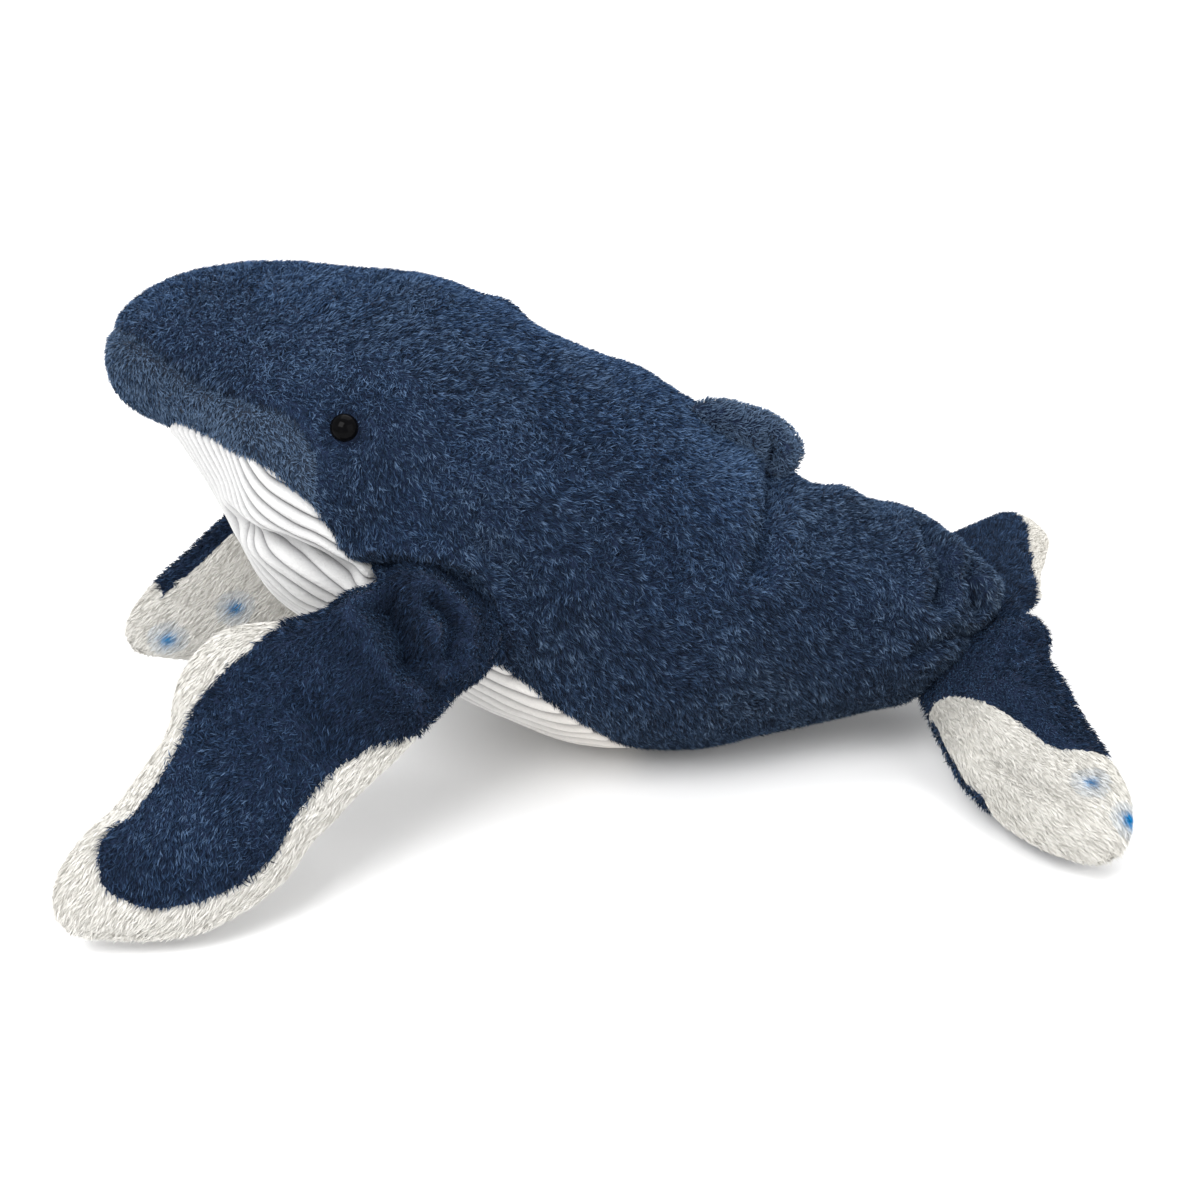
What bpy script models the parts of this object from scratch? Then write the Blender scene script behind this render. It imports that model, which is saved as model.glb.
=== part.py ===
"""A plush humpback whale that lies on its belly, propped on its flippers and its tail flukes.

Units are metres, with +Z up, the nose towards -X and the whale's left side towards -Y. The origin is
the middle of the flat patch under the belly. Every stuffed form is a loft of rings, and its fabric
panels are the loft's skin, cut along the seams that a sewing pattern would have.
"""

import math

import bmesh
import bpy
from mathutils import Matrix, Vector

# Body
NOSE_REACH = 0.203
TAIL_REACH = 0.117
GIRTH_RADIUS = 0.075
CROWN_HEIGHT = 0.180
BODY_ANGLES = 24
BODY_LENGTH = NOSE_REACH + TAIL_REACH

# Plush: backing and pile together, and the gap that two fabric faces keep
SKIN = 0.004
SEAM_GAP = 0.0003
FILL_GAP = 0.0004
FLOOR_CUT = 0.0005
CUT_OVERRUN = 0.012
SEAM_STEPS = 24
# Steps for reading a surface's slope, and the angle over which an edge is drawn sharp
SLOPE_STEP = 0.004
SHARP_ANGLE = math.radians(50)

# Each row is a ring: its place along the body, its centre's height, half its height, half its width
BODY_RING_SHARES = (
    (0.000, 0.824, 0.030, 0.030),
    (0.010, 0.826, 0.160, 0.170),
    (0.027, 0.828, 0.238, 0.262),
    (0.050, 0.831, 0.304, 0.350),
    (0.078, 0.828, 0.362, 0.430),
    (0.107, 0.794, 0.474, 0.520),
    (0.140, 0.741, 0.618, 0.640),
    (0.175, 0.679, 0.768, 0.780),
    (0.212, 0.648, 0.838, 0.850),
    (0.262, 0.618, 0.890, 0.910),
    (0.317, 0.585, 0.940, 0.960),
    (0.372, 0.545, 0.980, 0.990),
    (0.432, 0.490, 0.992, 0.995),
    (0.495, 0.434, 0.978, 0.990),
    (0.546, 0.406, 0.952, 0.965),
    (0.598, 0.381, 0.912, 0.930),
    (0.656, 0.3435, 0.824, 0.850),
    (0.714, 0.318, 0.730, 0.760),
    (0.772, 0.287, 0.612, 0.650),
    (0.830, 0.284, 0.546, 0.590),
    (0.886, 0.284, 0.486, 0.530),
    (0.925, 0.283, 0.410, 0.450),
    (0.955, 0.280, 0.312, 0.350),
    (0.982, 0.280, 0.200, 0.220),
    (1.000, 0.280, 0.050, 0.050),
)

# Seams of the body in side view, as shares of its length and of the crown's height
BELLY_SEAM_SHARES = (
    (0.068, 0.600),
    (0.073, 0.690),
    (0.085, 0.740),
    (0.126, 0.752),
    (0.184, 0.742),
    (0.216, 0.704),
    (0.241, 0.668),
    (0.266, 0.612),
    (0.304, 0.525),
    (0.355, 0.460),
    (0.410, 0.392),
    (0.455, 0.300),
    (0.498, 0.228),
    (0.541, 0.138),
    (0.585, 0.030),
    (0.610, -0.060),
)
MOUTH_SEAM_SHARES = (
    (-0.060, 0.880),
    (0.005, 0.886),
    (0.040, 0.903),
    (0.072, 0.892),
    (0.118, 0.853),
    (0.169, 0.843),
    (0.211, 0.831),
    (0.234, 0.805),
    (0.247, 0.770),
    (0.252, 0.735),
    (0.254, 0.660),
)

# Ribbed belly fabric
RIB_PITCH = 0.0060
RIB_DEPTH = 0.0016
RIB_COUNT = 40
RIB_INSET = 0.0008
RIB_WRAP = math.radians(170)
BELLY_SKIN = 0.0034
BELLY_SPAN_SHARES = (0.040, 0.660)

# A limb's root is rounded about its hinge axis, and its chord turns from that axis to the blade's own
ROOT_CAP_SHARES = (0.900, 0.600, 0.000)
# Near a limb's tip the fabric keeps to this share of the ring's smaller half size
THIN_SHARE = 0.550
ROOT_CLEARANCE = 0.0003
ROOT_SEGMENTS = 20
ROOT_ROWS = 14

# Flippers: a limb's rings have their place, half chord, half thickness and centre offset
FLIPPER_LENGTH = 0.155
FLIPPER_HALF_CHORD = 0.036
FLIPPER_HALF_THICKNESS = 0.014
FLIPPER_ROOT_RADIUS = 0.010
FLIPPER_ROOT_HALF_CHORD = 0.022
FLIPPER_ANGLES = 14
FLIPPER_RING_SHARES = (
    (0.110, 0.660, 0.760, -0.030),
    (0.226, 0.750, 0.860, -0.060),
    (0.374, 0.940, 0.960, -0.180),
    (0.497, 0.940, 1.000, -0.120),
    (0.613, 0.820, 0.980, 0.110),
    (0.761, 0.700, 0.930, 0.170),
    (0.845, 0.600, 0.860, 0.120),
    (0.916, 0.440, 0.720, 0.060),
    (0.965, 0.270, 0.500, 0.020),
    (0.992, 0.120, 0.250, 0.010),
)
# The navy panel's edge, as shares of the length and of the half chord: leading and trailing
LEFT_FLIPPER_SEAM_SHARES = (
    (-0.300, -1.500, 1.500),
    (0.130, -1.300, 1.500),
    (0.200, -0.950, 1.400),
    (0.260, -0.850, 1.150),
    (0.310, -0.840, 0.760),
    (0.360, -0.840, 0.600),
    (0.430, -0.820, 0.560),
    (0.520, -0.740, 0.660),
    (0.600, -0.550, 0.740),
    (0.720, -0.370, 0.690),
    (0.830, -0.330, 0.470),
    (0.860, -0.220, 0.320),
    (0.888, -0.020, 0.080),
)
RIGHT_FLIPPER_SEAM_SHARES = (
    (-0.300, -1.500, 1.500),
    (0.130, -1.500, 1.500),
    (0.200, -1.500, 1.400),
    (0.260, -1.500, 1.150),
    (0.310, -1.500, 0.760),
    (0.360, -1.500, 0.600),
    (0.430, -1.500, 0.560),
    (0.520, -1.500, 0.660),
    (0.600, -1.500, 0.740),
    (0.700, -1.400, 0.690),
    (0.790, -0.620, 0.550),
    (0.840, -0.300, 0.400),
    (0.888, -0.020, 0.080),
)
SHOULDER_ALONG_SHARE = 0.381
SHOULDER_ANGLE = math.radians(82)
SHOULDER_LIFT = 0.002
SHOULDER_AXIS = (0.80, 0.03, -0.60)
LEFT_FLIPPER_SPAN = (-0.77, -0.45, -0.47)
LEFT_FLIPPER_FACE = (0.12, -0.79, 0.60)
LEFT_FLIPPER_TWIST_SHARE = 0.350
RIGHT_FLIPPER_SPAN = (-0.84, -0.35, -0.41)
RIGHT_FLIPPER_FACE = (-0.445, 0.866, -0.050)
RIGHT_FLIPPER_TWIST_SHARE = 0.550

# Tail flukes
FLUKE_LENGTH = 0.106
FLUKE_HALF_CHORD = 0.024
FLUKE_HALF_THICKNESS = 0.0115
FLUKE_ROOT_RADIUS = 0.010
FLUKE_ROOT_HALF_CHORD = 0.021
FLUKE_TWIST_SHARE = 0.350
FLUKE_ANGLES = 12
FLUKE_RING_SHARES = (
    (0.110, 1.000, 0.920, 0.160),
    (0.280, 1.000, 1.000, 0.110),
    (0.460, 0.990, 1.000, 0.080),
    (0.640, 0.900, 0.950, 0.160),
    (0.800, 0.720, 0.860, 0.290),
    (0.900, 0.530, 0.700, 0.330),
    (0.965, 0.330, 0.460, 0.340),
    (0.992, 0.150, 0.220, 0.340),
)
# Turns that leave a fluke's root clear of the tail, and how far each fluke leans back from that outline
FLUKE_SWINGS = (math.radians(-20), math.radians(-10), 0.0, math.radians(10), math.radians(20))
LEFT_FLUKE_LEAN_SHARE = -0.160
RIGHT_FLUKE_LEAN_SHARE = 0.000
# The white patch on a fluke's underside, and the strip by which it wraps over to the top
FLUKE_PATCH_SHARES = (
    (0.170, -0.960, -0.800),
    (0.200, -0.970, -0.550),
    (0.320, -0.960, -0.160),
    (0.480, -0.980, 0.150),
    (0.600, -0.820, 0.400),
    (0.680, -0.720, 1.000),
    (0.740, -1.300, 1.500),
    (1.200, -1.300, 1.500),
)
LEFT_FLUKE_WRAP_SHARES = (
    (0.860, -1.400, 1.600),
    (1.250, -1.400, 1.600),
)
RIGHT_FLUKE_WRAP_SHARES = (
    (0.150, 0.940, 1.600),
    (0.450, 0.740, 1.600),
    (0.800, 0.530, 1.600),
    (0.930, 0.350, 1.600),
    (1.250, 0.250, 1.600),
)
FLUKE_ROOT_BACK = 0.013
FLUKE_ROOT_SIDE = 0.0135
FLUKE_ROOT_HEIGHT = 0.039
LEFT_FLUKE_AXIS = (0.90, 0.0, 0.40)
RIGHT_FLUKE_AXIS = (0.98, 0.0, 0.15)
LEFT_FLUKE_SPAN = (0.30, -0.915, -0.265)
LEFT_FLUKE_FACE = (-0.45, -0.35, 0.82)
RIGHT_FLUKE_SPAN = (0.32, 0.94, -0.095)
RIGHT_FLUKE_FACE = (0.08, -0.10, -0.99)

# Dorsal fin
FIN_HEIGHT = 0.0140
FIN_HALF_CHORD = 0.024
FIN_HALF_THICKNESS = 0.0085
FIN_ROOT_RADIUS = 0.0070
FIN_ROOT_HALF_CHORD = 0.021
FIN_TWIST_SHARE = 0.500
FIN_ANGLES = 12
FIN_RING_SHARES = (
    (0.150, 0.900, 0.900, 0.060),
    (0.400, 0.800, 1.000, 0.130),
    (0.620, 0.650, 1.000, 0.230),
    (0.800, 0.450, 0.860, 0.310),
    (0.930, 0.250, 0.560, 0.350),
)
FIN_ALONG_SHARE = 0.694
FIN_SLOPE_SHARE = 0.050
FIN_LIFT = 0.001
FIN_OPENING_SHARE = 0.350
FIN_SWINGS = (math.radians(-25), 0.0, math.radians(25))

# Safety eyes, with the washer that locks each one behind the fabric
EYE_RADIUS = 0.0046
EYE_DOME_HEIGHT = 0.0036
EYE_FLANGE = 0.0010
EYE_SHANK_RADIUS = 0.0018
EYE_SHANK_LENGTH = 0.0110
EYE_SEGMENTS = 20
EYE_DOME_STEPS = 4
EYE_SINK = 0.0012
EYE_CLEARANCE = 0.0003
EYE_ALONG_SHARE = 0.282
EYE_ANGLE = math.radians(123)
WASHER_RADIUS = 0.0065
WASHER_THICKNESS = 0.0014
WASHER_BORE_GAP = 0.0002
WASHER_DEPTH = 0.0054

# Plush whale colours, as linear values
NAVY = (0.022, 0.050, 0.130)
SLATE = (0.045, 0.075, 0.130)
WHITE_PILE = (0.780, 0.775, 0.750)
RIBBED_WHITE = (0.820, 0.820, 0.840)
FILL_WHITE = (0.850, 0.850, 0.840)
EYE_BLACK = (0.004, 0.004, 0.005)
WASHER_WHITE = (0.700, 0.700, 0.680)


def clear_scene():
    for obj in list(bpy.data.objects):
        bpy.data.objects.remove(obj)


def material(name, colour, roughness):
    made = bpy.data.materials.new(name)
    made.use_nodes = True
    shader = made.node_tree.nodes["Principled BSDF"]
    shader.inputs["Base Color"].default_value = (*colour, 1.0)
    shader.inputs["Roughness"].default_value = roughness
    shader.inputs["Metallic"].default_value = 0.0
    return made


def smooth_row(rows, place):
    """The row at a place in a table whose first column is the place, read from a smooth curve."""
    last = len(rows) - 1
    index = 0
    while index < last - 1 and rows[index + 1][0] < place:
        index += 1
    start, end = rows[index], rows[index + 1]
    before = rows[max(index - 1, 0)]
    after = rows[min(index + 2, last)]
    width = end[0] - start[0]
    t = min(max((place - start[0]) / width, 0.0), 1.0)
    values = []
    for column in range(1, len(start)):
        slope_in = (end[column] - before[column]) / (end[0] - before[0])
        slope_out = (after[column] - start[column]) / (after[0] - start[0])
        values.append(
            start[column] * (1 + 2 * t) * (1 - t) ** 2
            + end[column] * t * t * (3 - 2 * t)
            + slope_in * width * t * (1 - t) ** 2
            - slope_out * width * t * t * (1 - t)
        )
    return values


def body_ring(along):
    """A ring's x, its centre's z, half its height and half its width."""
    centre, tall, wide = smooth_row(BODY_RING_SHARES, along)
    return (
        along * BODY_LENGTH - NOSE_REACH,
        centre * CROWN_HEIGHT,
        tall * GIRTH_RADIUS,
        wide * GIRTH_RADIUS,
    )


def body_point(along, angle):
    """A point on the body, with the angle from straight down towards the left side."""
    x, centre, tall, wide = body_ring(along)
    return Vector((x, -wide * math.sin(angle), centre - tall * math.cos(angle)))


def body_normal(along, angle):
    lengthwise = body_point(along + SLOPE_STEP, angle) - body_point(along - SLOPE_STEP, angle)
    around = body_point(along, angle + SLOPE_STEP) - body_point(along, angle - SLOPE_STEP)
    return lengthwise.cross(around).normalized()


def mesh_object(name, mesh, finish):
    obj = bpy.data.objects.new(name, mesh)
    bpy.context.scene.collection.objects.link(obj)
    if finish:
        mesh.materials.append(finish)
    mesh.shade_smooth()
    mesh.set_sharp_from_angle(angle=SHARP_ANGLE)
    return obj


def helper(obj):
    obj.hide_render = True
    obj.display_type = "WIRE"
    return obj


def mesh_of(name, form):
    mesh = bpy.data.meshes.new(name)
    form.to_mesh(mesh)
    form.free()
    return mesh


def ring_points(centre, side, up, half_side, half_up, count):
    """Points of an ellipse, which start at the up end and turn towards the side."""
    points = []
    for i in range(count):
        angle = 2 * math.pi * i / count
        points.append(centre + side * (half_side * math.sin(angle)) + up * (half_up * math.cos(angle)))
    return points


def loft(rings, start_pole, end_pole):
    """A closed form through the rings, brought to a point at each end.

    Each point keeps its ring's smaller half size, which limits how far fabric reaches in.
    """
    form = bmesh.new()
    room = form.verts.layers.float.new("room")
    rows = [[form.verts.new(point) for point in ring] for ring in rings]
    for row in rows:
        quarter = len(row) // 4
        middle = (row[0].co + row[2 * quarter].co) / 2
        half = min((row[0].co - middle).length, (row[quarter].co - middle).length)
        for vert in row:
            vert[room] = half
    count = len(rows[0])
    for first, second in zip(rows, rows[1:]):
        for i in range(count):
            j = (i + 1) % count
            form.faces.new((first[i], first[j], second[j]))
            form.faces.new((first[i], second[j], second[i]))
    for row, pole_place in ((rows[0], start_pole), (rows[-1], end_pole)):
        pole = form.verts.new(pole_place)
        pole[room] = row[0][room]
        for i in range(count):
            form.faces.new((row[i], row[(i + 1) % count], pole))
    bmesh.ops.recalc_face_normals(form, faces=form.faces)
    form.normal_update()
    return form


def moved_out(form, distance):
    """A copy of the form with each point moved out along its normal."""
    copy = form.copy()
    copy.normal_update()
    places = [vert.co + vert.normal * distance for vert in copy.verts]
    for vert, place in zip(copy.verts, places):
        vert.co = place
    return copy


def lining(form, gap):
    """A copy of the form moved in by the fabric's thickness and a gap."""
    copy = form.copy()
    copy.normal_update()
    room = copy.verts.layers.float["room"]
    places = [vert.co - vert.normal * (min(SKIN, THIN_SHARE * vert[room]) + gap) for vert in copy.verts]
    for vert, place in zip(copy.verts, places):
        vert.co = place
    return copy


def hollow(form):
    """The form with a second surface one fabric thickness further in, which seam cuts then open."""
    shell = form.copy()
    inner = lining(form, 0.0)
    bmesh.ops.reverse_faces(inner, faces=inner.faces)
    copies = {vert: shell.verts.new(vert.co) for vert in inner.verts}
    for face in inner.faces:
        shell.faces.new([copies[vert] for vert in face.verts])
    inner.free()
    return shell


def boolean(obj, operation, cutter):
    modifier = obj.modifiers.new(operation.lower(), "BOOLEAN")
    modifier.operation = operation
    modifier.object = cutter
    modifier.solver = "EXACT"
    return modifier


def prism(name, outline, place, depth_from, depth_to):
    """A closed prism of an outline: place turns an outline point and a depth into a point in space."""
    form = bmesh.new()
    near = [form.verts.new(place(a, b, depth_from)) for a, b in outline]
    far = [form.verts.new(place(a, b, depth_to)) for a, b in outline]
    form.faces.new(near)
    form.faces.new(list(reversed(far)))
    count = len(outline)
    for i in range(count):
        j = (i + 1) % count
        form.faces.new((near[i], far[i], far[j], near[j]))
    bmesh.ops.recalc_face_normals(form, faces=form.faces)
    return helper(mesh_object(name, mesh_of(name, form), None))


def lathe(profile, place, out, closed=False):
    """A round solid about an outward axis, from radii and distances along the axis, tip first."""
    form = bmesh.new()
    rows = []
    for radius, height in profile:
        count = EYE_SEGMENTS if radius else 1
        turns = [2 * math.pi * i / count for i in range(count)]
        rows.append([form.verts.new((radius * math.cos(t), radius * math.sin(t), height)) for t in turns])
    pairs = list(zip(rows, rows[1:]))
    if closed:
        pairs.append((rows[-1], rows[0]))
    for first, second in pairs:
        for i in range(EYE_SEGMENTS):
            j = (i + 1) % EYE_SEGMENTS
            if len(first) == 1:
                form.faces.new((first[0], second[i], second[j]))
            elif len(second) == 1:
                form.faces.new((first[i], second[0], first[j]))
            else:
                form.faces.new((first[i], second[i], second[j], first[j]))
    bmesh.ops.recalc_face_normals(form, faces=form.faces)
    turn = out.to_track_quat("Z", "Y").to_matrix().to_4x4()
    form.transform(Matrix.Translation(place) @ turn)
    return form


def spheroid(name, centre, axis, half_axis, radius):
    """A ball of the given radius, stretched along an axis."""
    form = bmesh.new()
    bmesh.ops.create_uvsphere(form, u_segments=ROOT_SEGMENTS, v_segments=ROOT_ROWS, radius=1.0)
    turn = axis.to_track_quat("Z", "Y").to_matrix().to_4x4()
    size = Matrix.Diagonal((radius, radius, half_axis, 1.0))
    form.transform(Matrix.Translation(centre) @ turn @ size)
    return helper(mesh_object(name, mesh_of(name, form), None))


def floor_cutter():
    """A slab whose top is the floor."""
    reach = BODY_LENGTH
    outline = ((-reach, -reach), (reach, -reach), (reach, reach), (-reach, reach))
    return prism("floor_cutter", outline, lambda a, b, depth: Vector((a, b, depth)), -CUT_OVERRUN * 2, 0.0)


def body_form():
    rings = []
    for along, *_ in BODY_RING_SHARES[1:-1]:
        x, centre, tall, wide = body_ring(along)
        middle = Vector((x, 0.0, centre - FLOOR_CUT))
        rings.append(ring_points(middle, Vector((0, 1, 0)), Vector((0, 0, 1)), wide, tall, BODY_ANGLES))
    nose = Vector((-NOSE_REACH, 0.0, BODY_RING_SHARES[0][1] * CROWN_HEIGHT))
    tail = Vector((TAIL_REACH, 0.0, BODY_RING_SHARES[-1][1] * CROWN_HEIGHT))
    return loft(rings, nose, tail)


def smooth_seam(rows, steps):
    """Points of a seam, read from a smooth curve through its rows."""
    first, last = rows[0][0], rows[-1][0]
    places = [first + (last - first) * i / steps for i in range(steps + 1)]
    return [(place, *smooth_row(rows, place)) for place in places]


def grown(outline, distance):
    """A closed outline with each side moved out by a distance."""
    count = len(outline)
    area = sum(
        outline[i][0] * outline[(i + 1) % count][1] - outline[(i + 1) % count][0] * outline[i][1]
        for i in range(count)
    )
    turn = 1 if area > 0 else -1
    points = []
    for i, (a, b) in enumerate(outline):
        before = Vector((a - outline[i - 1][0], b - outline[i - 1][1])).normalized()
        after = Vector((outline[(i + 1) % count][0] - a, outline[(i + 1) % count][1] - b)).normalized()
        out = Vector((before.y + after.y, -before.x - after.x)).normalized() * turn
        spread = max(abs(before.cross(out)), 0.5)
        points.append((a + out.x * distance / spread, b + out.y * distance / spread))
    return points


def side_prism(name, seam, growth):
    """The space under a seam of the body in side view, cut through from side to side."""
    outline = [
        (a * BODY_LENGTH - NOSE_REACH, b * CROWN_HEIGHT) for a, b in smooth_seam(seam, SEAM_STEPS)
    ]
    low = -CUT_OVERRUN * 2
    outline += [(outline[-1][0], low), (outline[0][0], low)]
    reach = GIRTH_RADIUS + CUT_OVERRUN
    return prism(name, grown(outline, growth), lambda a, b, depth: Vector((a, depth, b)), -reach, reach)


def belly_sheet():
    """The ribbed fabric before it is cut out: ribs run along the belly at one pitch, two points a rib."""
    first_share, last_share = BELLY_SPAN_SHARES
    rows = [share[0] for share in BODY_RING_SHARES if first_share < share[0] < last_share]
    form = bmesh.new()
    outer = []
    inner = []
    columns = 2 * RIB_COUNT
    for along in rows:
        x, centre, tall, wide = body_ring(along)
        mean = (tall + wide) / 2
        outer.append([])
        inner.append([])
        for i in range(columns + 1):
            arc = (i - columns / 2) * RIB_PITCH / 2
            angle = RIB_WRAP * math.tanh(arc / (mean * RIB_WRAP))
            depth = RIB_INSET + RIB_DEPTH * (i % 2)
            outer[-1].append(form.verts.new(sheet_point(x, centre, tall, wide, angle, depth)))
            if i % 2 == 0:
                inner[-1].append(form.verts.new(sheet_point(x, centre, tall, wide, angle, BELLY_SKIN)))
    for grid in (outer, inner):
        for first, second in zip(grid, grid[1:]):
            for i in range(len(first) - 1):
                form.faces.new((first[i], first[i + 1], second[i + 1], second[i]))
    for side in (0, -1):
        for i in range(len(rows) - 1):
            form.faces.new((outer[i][side], outer[i + 1][side], inner[i + 1][side], inner[i][side]))
    for end in (0, -1):
        form.faces.new(outer[end] + list(reversed(inner[end])))
    bmesh.ops.recalc_face_normals(form, faces=form.faces)
    return form


def sheet_point(x, centre, tall, wide, angle, depth):
    y = -(wide - depth) * math.sin(angle)
    return Vector((x, y, centre - FLOOR_CUT - (tall - depth) * math.cos(angle)))


class Limb:
    """A stuffed limb sewn on at a root, which turns about an axis along the root."""

    def __init__(self, name, place, axis, span, face, side, twist, lean, sizes, rings, angles):
        self.name = name
        self.place = place
        self.axis = Vector(axis).normalized()
        self.span = Vector(span).normalized()
        face = Vector(face)
        self.face = (face - self.span * face.dot(self.span)).normalized()
        self.side = side
        self.twist = twist
        self.lean = lean
        self.trail = self.face.cross(self.span) * side
        self.length, self.half_chord, self.half_thickness, self.root_radius, self.root_half_chord = sizes
        self.rings = rings
        self.angles = angles
        self.out = (self.span - self.axis * self.span.dot(self.axis)).normalized()
        self.root_face = self.out.cross(self.axis) * side

    def ring(self, centre, chord, face, half_chord, half_thickness):
        face = (face - chord * face.dot(chord)).normalized()
        return ring_points(centre, chord, face, half_chord, half_thickness, self.angles)

    def form(self):
        """The loft: a root rounded about the hinge axis, then the blade."""
        rings = []
        for depth in ROOT_CAP_SHARES:
            size = math.sqrt(1 - depth * depth)
            centre = self.place - self.out * (self.root_radius * depth)
            chord = self.root_half_chord * size
            rings.append(self.ring(centre, self.axis, self.root_face, chord, self.root_radius * size))
        for along, wide, thick, offset in self.rings:
            turn = min(along / self.twist, 1.0)
            turn = turn * turn * (3 - 2 * turn)
            chord = self.axis.lerp(self.trail, turn).normalized()
            face = self.root_face.lerp(self.face, turn)
            back = (offset + self.lean) * self.half_chord
            centre = self.place + self.span * (along * self.length) + chord * back
            half = (wide * self.half_chord, thick * self.half_thickness)
            rings.append(self.ring(centre, chord, face, *half))
        start = self.place - self.out * self.root_radius
        end = self.place + self.span * self.length + self.trail * back
        return loft(rings, start, end)

    def seam_prism(self, name, rows, growth, through=False):
        """The space over a panel whose edge is drawn on the limb's face, or right through the limb."""
        outline = [(a * self.length, lead * self.half_chord) for a, lead, _ in rows]
        outline += [(a * self.length, trail * self.half_chord) for a, _, trail in reversed(rows)]

        def place(a, b, depth):
            return self.place + self.span * a + self.trail * b + self.face * depth

        top = self.half_thickness + CUT_OVERRUN
        low = -growth
        if through:
            top += CUT_OVERRUN
            low = -top
        return prism(f"{self.name}_{name}", grown(outline, growth), place, low, top)

    def root_ball(self, name, clearance):
        half = self.root_half_chord + clearance
        return spheroid(f"{self.name}_{name}", self.place, self.axis, half, self.root_radius + clearance)


def panel(name, form, finish, cuts, parent):
    """A fabric panel: the form's skin, opened by its cuts."""
    obj = mesh_object(name, mesh_of(name, hollow(form)), finish)
    for operation, cutter in cuts:
        boolean(obj, operation, cutter)
    attach(obj, parent)
    return obj


def filling(name, form, finish, cuts, parent, tolerant=False):
    """The stuffing inside a form's skin. A form with many cuts in it needs the tolerant solver."""
    obj = mesh_object(name, mesh_of(name, lining(form, FILL_GAP)), finish)
    for operation, cutter in cuts:
        boolean(obj, operation, cutter).use_hole_tolerant = tolerant
    attach(obj, parent)
    return obj


def attach(obj, parent):
    if parent:
        obj.parent = parent
        obj.matrix_parent_inverse = Matrix.Translation(-parent.location)


def hinge_empty(name, place):
    empty = bpy.data.objects.new(name, None)
    bpy.context.scene.collection.objects.link(empty)
    empty.location = place
    return empty


def root_place(along, angle, lift):
    return body_point(along, angle) + body_normal(along, angle) * lift


def mirrored(vector):
    return (vector[0], -vector[1], vector[2])


def limbs():
    flipper = (
        FLIPPER_LENGTH,
        FLIPPER_HALF_CHORD,
        FLIPPER_HALF_THICKNESS,
        FLIPPER_ROOT_RADIUS,
        FLIPPER_ROOT_HALF_CHORD,
    )
    fluke = (FLUKE_LENGTH, FLUKE_HALF_CHORD, FLUKE_HALF_THICKNESS, FLUKE_ROOT_RADIUS, FLUKE_ROOT_HALF_CHORD)
    fin = (FIN_HEIGHT, FIN_HALF_CHORD, FIN_HALF_THICKNESS, FIN_ROOT_RADIUS, FIN_ROOT_HALF_CHORD)
    shoulder = root_place(SHOULDER_ALONG_SHARE, SHOULDER_ANGLE, SHOULDER_LIFT)
    far_shoulder = Vector(mirrored(shoulder))
    tail = Vector((TAIL_REACH - FLUKE_ROOT_BACK, -FLUKE_ROOT_SIDE, FLUKE_ROOT_HEIGHT))
    far_tail = Vector(mirrored(tail))
    back = root_place(FIN_ALONG_SHARE, math.pi, FIN_LIFT)
    behind = body_point(FIN_ALONG_SHARE + FIN_SLOPE_SHARE, math.pi)
    slope = behind - body_point(FIN_ALONG_SHARE - FIN_SLOPE_SHARE, math.pi)
    up = Vector((-slope.z, 0.0, slope.x))
    far_axis = mirrored(SHOULDER_AXIS)
    frames = (
        ("left_flipper", shoulder, SHOULDER_AXIS, LEFT_FLIPPER_SPAN, LEFT_FLIPPER_FACE, 1),
        ("right_flipper", far_shoulder, far_axis, RIGHT_FLIPPER_SPAN, RIGHT_FLIPPER_FACE, -1),
        ("left_fluke", tail, LEFT_FLUKE_AXIS, LEFT_FLUKE_SPAN, LEFT_FLUKE_FACE, 1),
        ("right_fluke", far_tail, RIGHT_FLUKE_AXIS, RIGHT_FLUKE_SPAN, RIGHT_FLUKE_FACE, 1),
        ("dorsal_fin", back, slope, up, (0.0, -1.0, 0.0), -1),
    )
    shapes = (
        (LEFT_FLIPPER_TWIST_SHARE, 0.0, flipper, FLIPPER_RING_SHARES, FLIPPER_ANGLES),
        (RIGHT_FLIPPER_TWIST_SHARE, 0.0, flipper, FLIPPER_RING_SHARES, FLIPPER_ANGLES),
        (FLUKE_TWIST_SHARE, LEFT_FLUKE_LEAN_SHARE, fluke, FLUKE_RING_SHARES, FLUKE_ANGLES),
        (FLUKE_TWIST_SHARE, RIGHT_FLUKE_LEAN_SHARE, fluke, FLUKE_RING_SHARES, FLUKE_ANGLES),
        (FIN_TWIST_SHARE, 0.0, fin, FIN_RING_SHARES, FIN_ANGLES),
    )
    return {frame[0]: Limb(*frame, *shape) for frame, shape in zip(frames, shapes)}


def body_cuts(form, limb, swings, floor):
    """Cuts that keep a limb clear of the body at each swing about its hinge, except in its socket."""
    cutters = []
    for swing in swings:
        turned = moved_out(form, SEAM_GAP)
        turn = Matrix.Rotation(swing, 4, limb.axis)
        turned.transform(Matrix.Translation(limb.place) @ turn @ Matrix.Translation(-limb.place))
        cutters.append(helper(mesh_object(f"{limb.name}_body", mesh_of("body", turned), None)))
    for other in cutters[1:]:
        boolean(cutters[0], "UNION", other)
    boolean(cutters[0], "DIFFERENCE", limb.root_ball("room", ROOT_CLEARANCE / 2))
    return [("DIFFERENCE", cutters[0]), ("DIFFERENCE", floor)]


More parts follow.
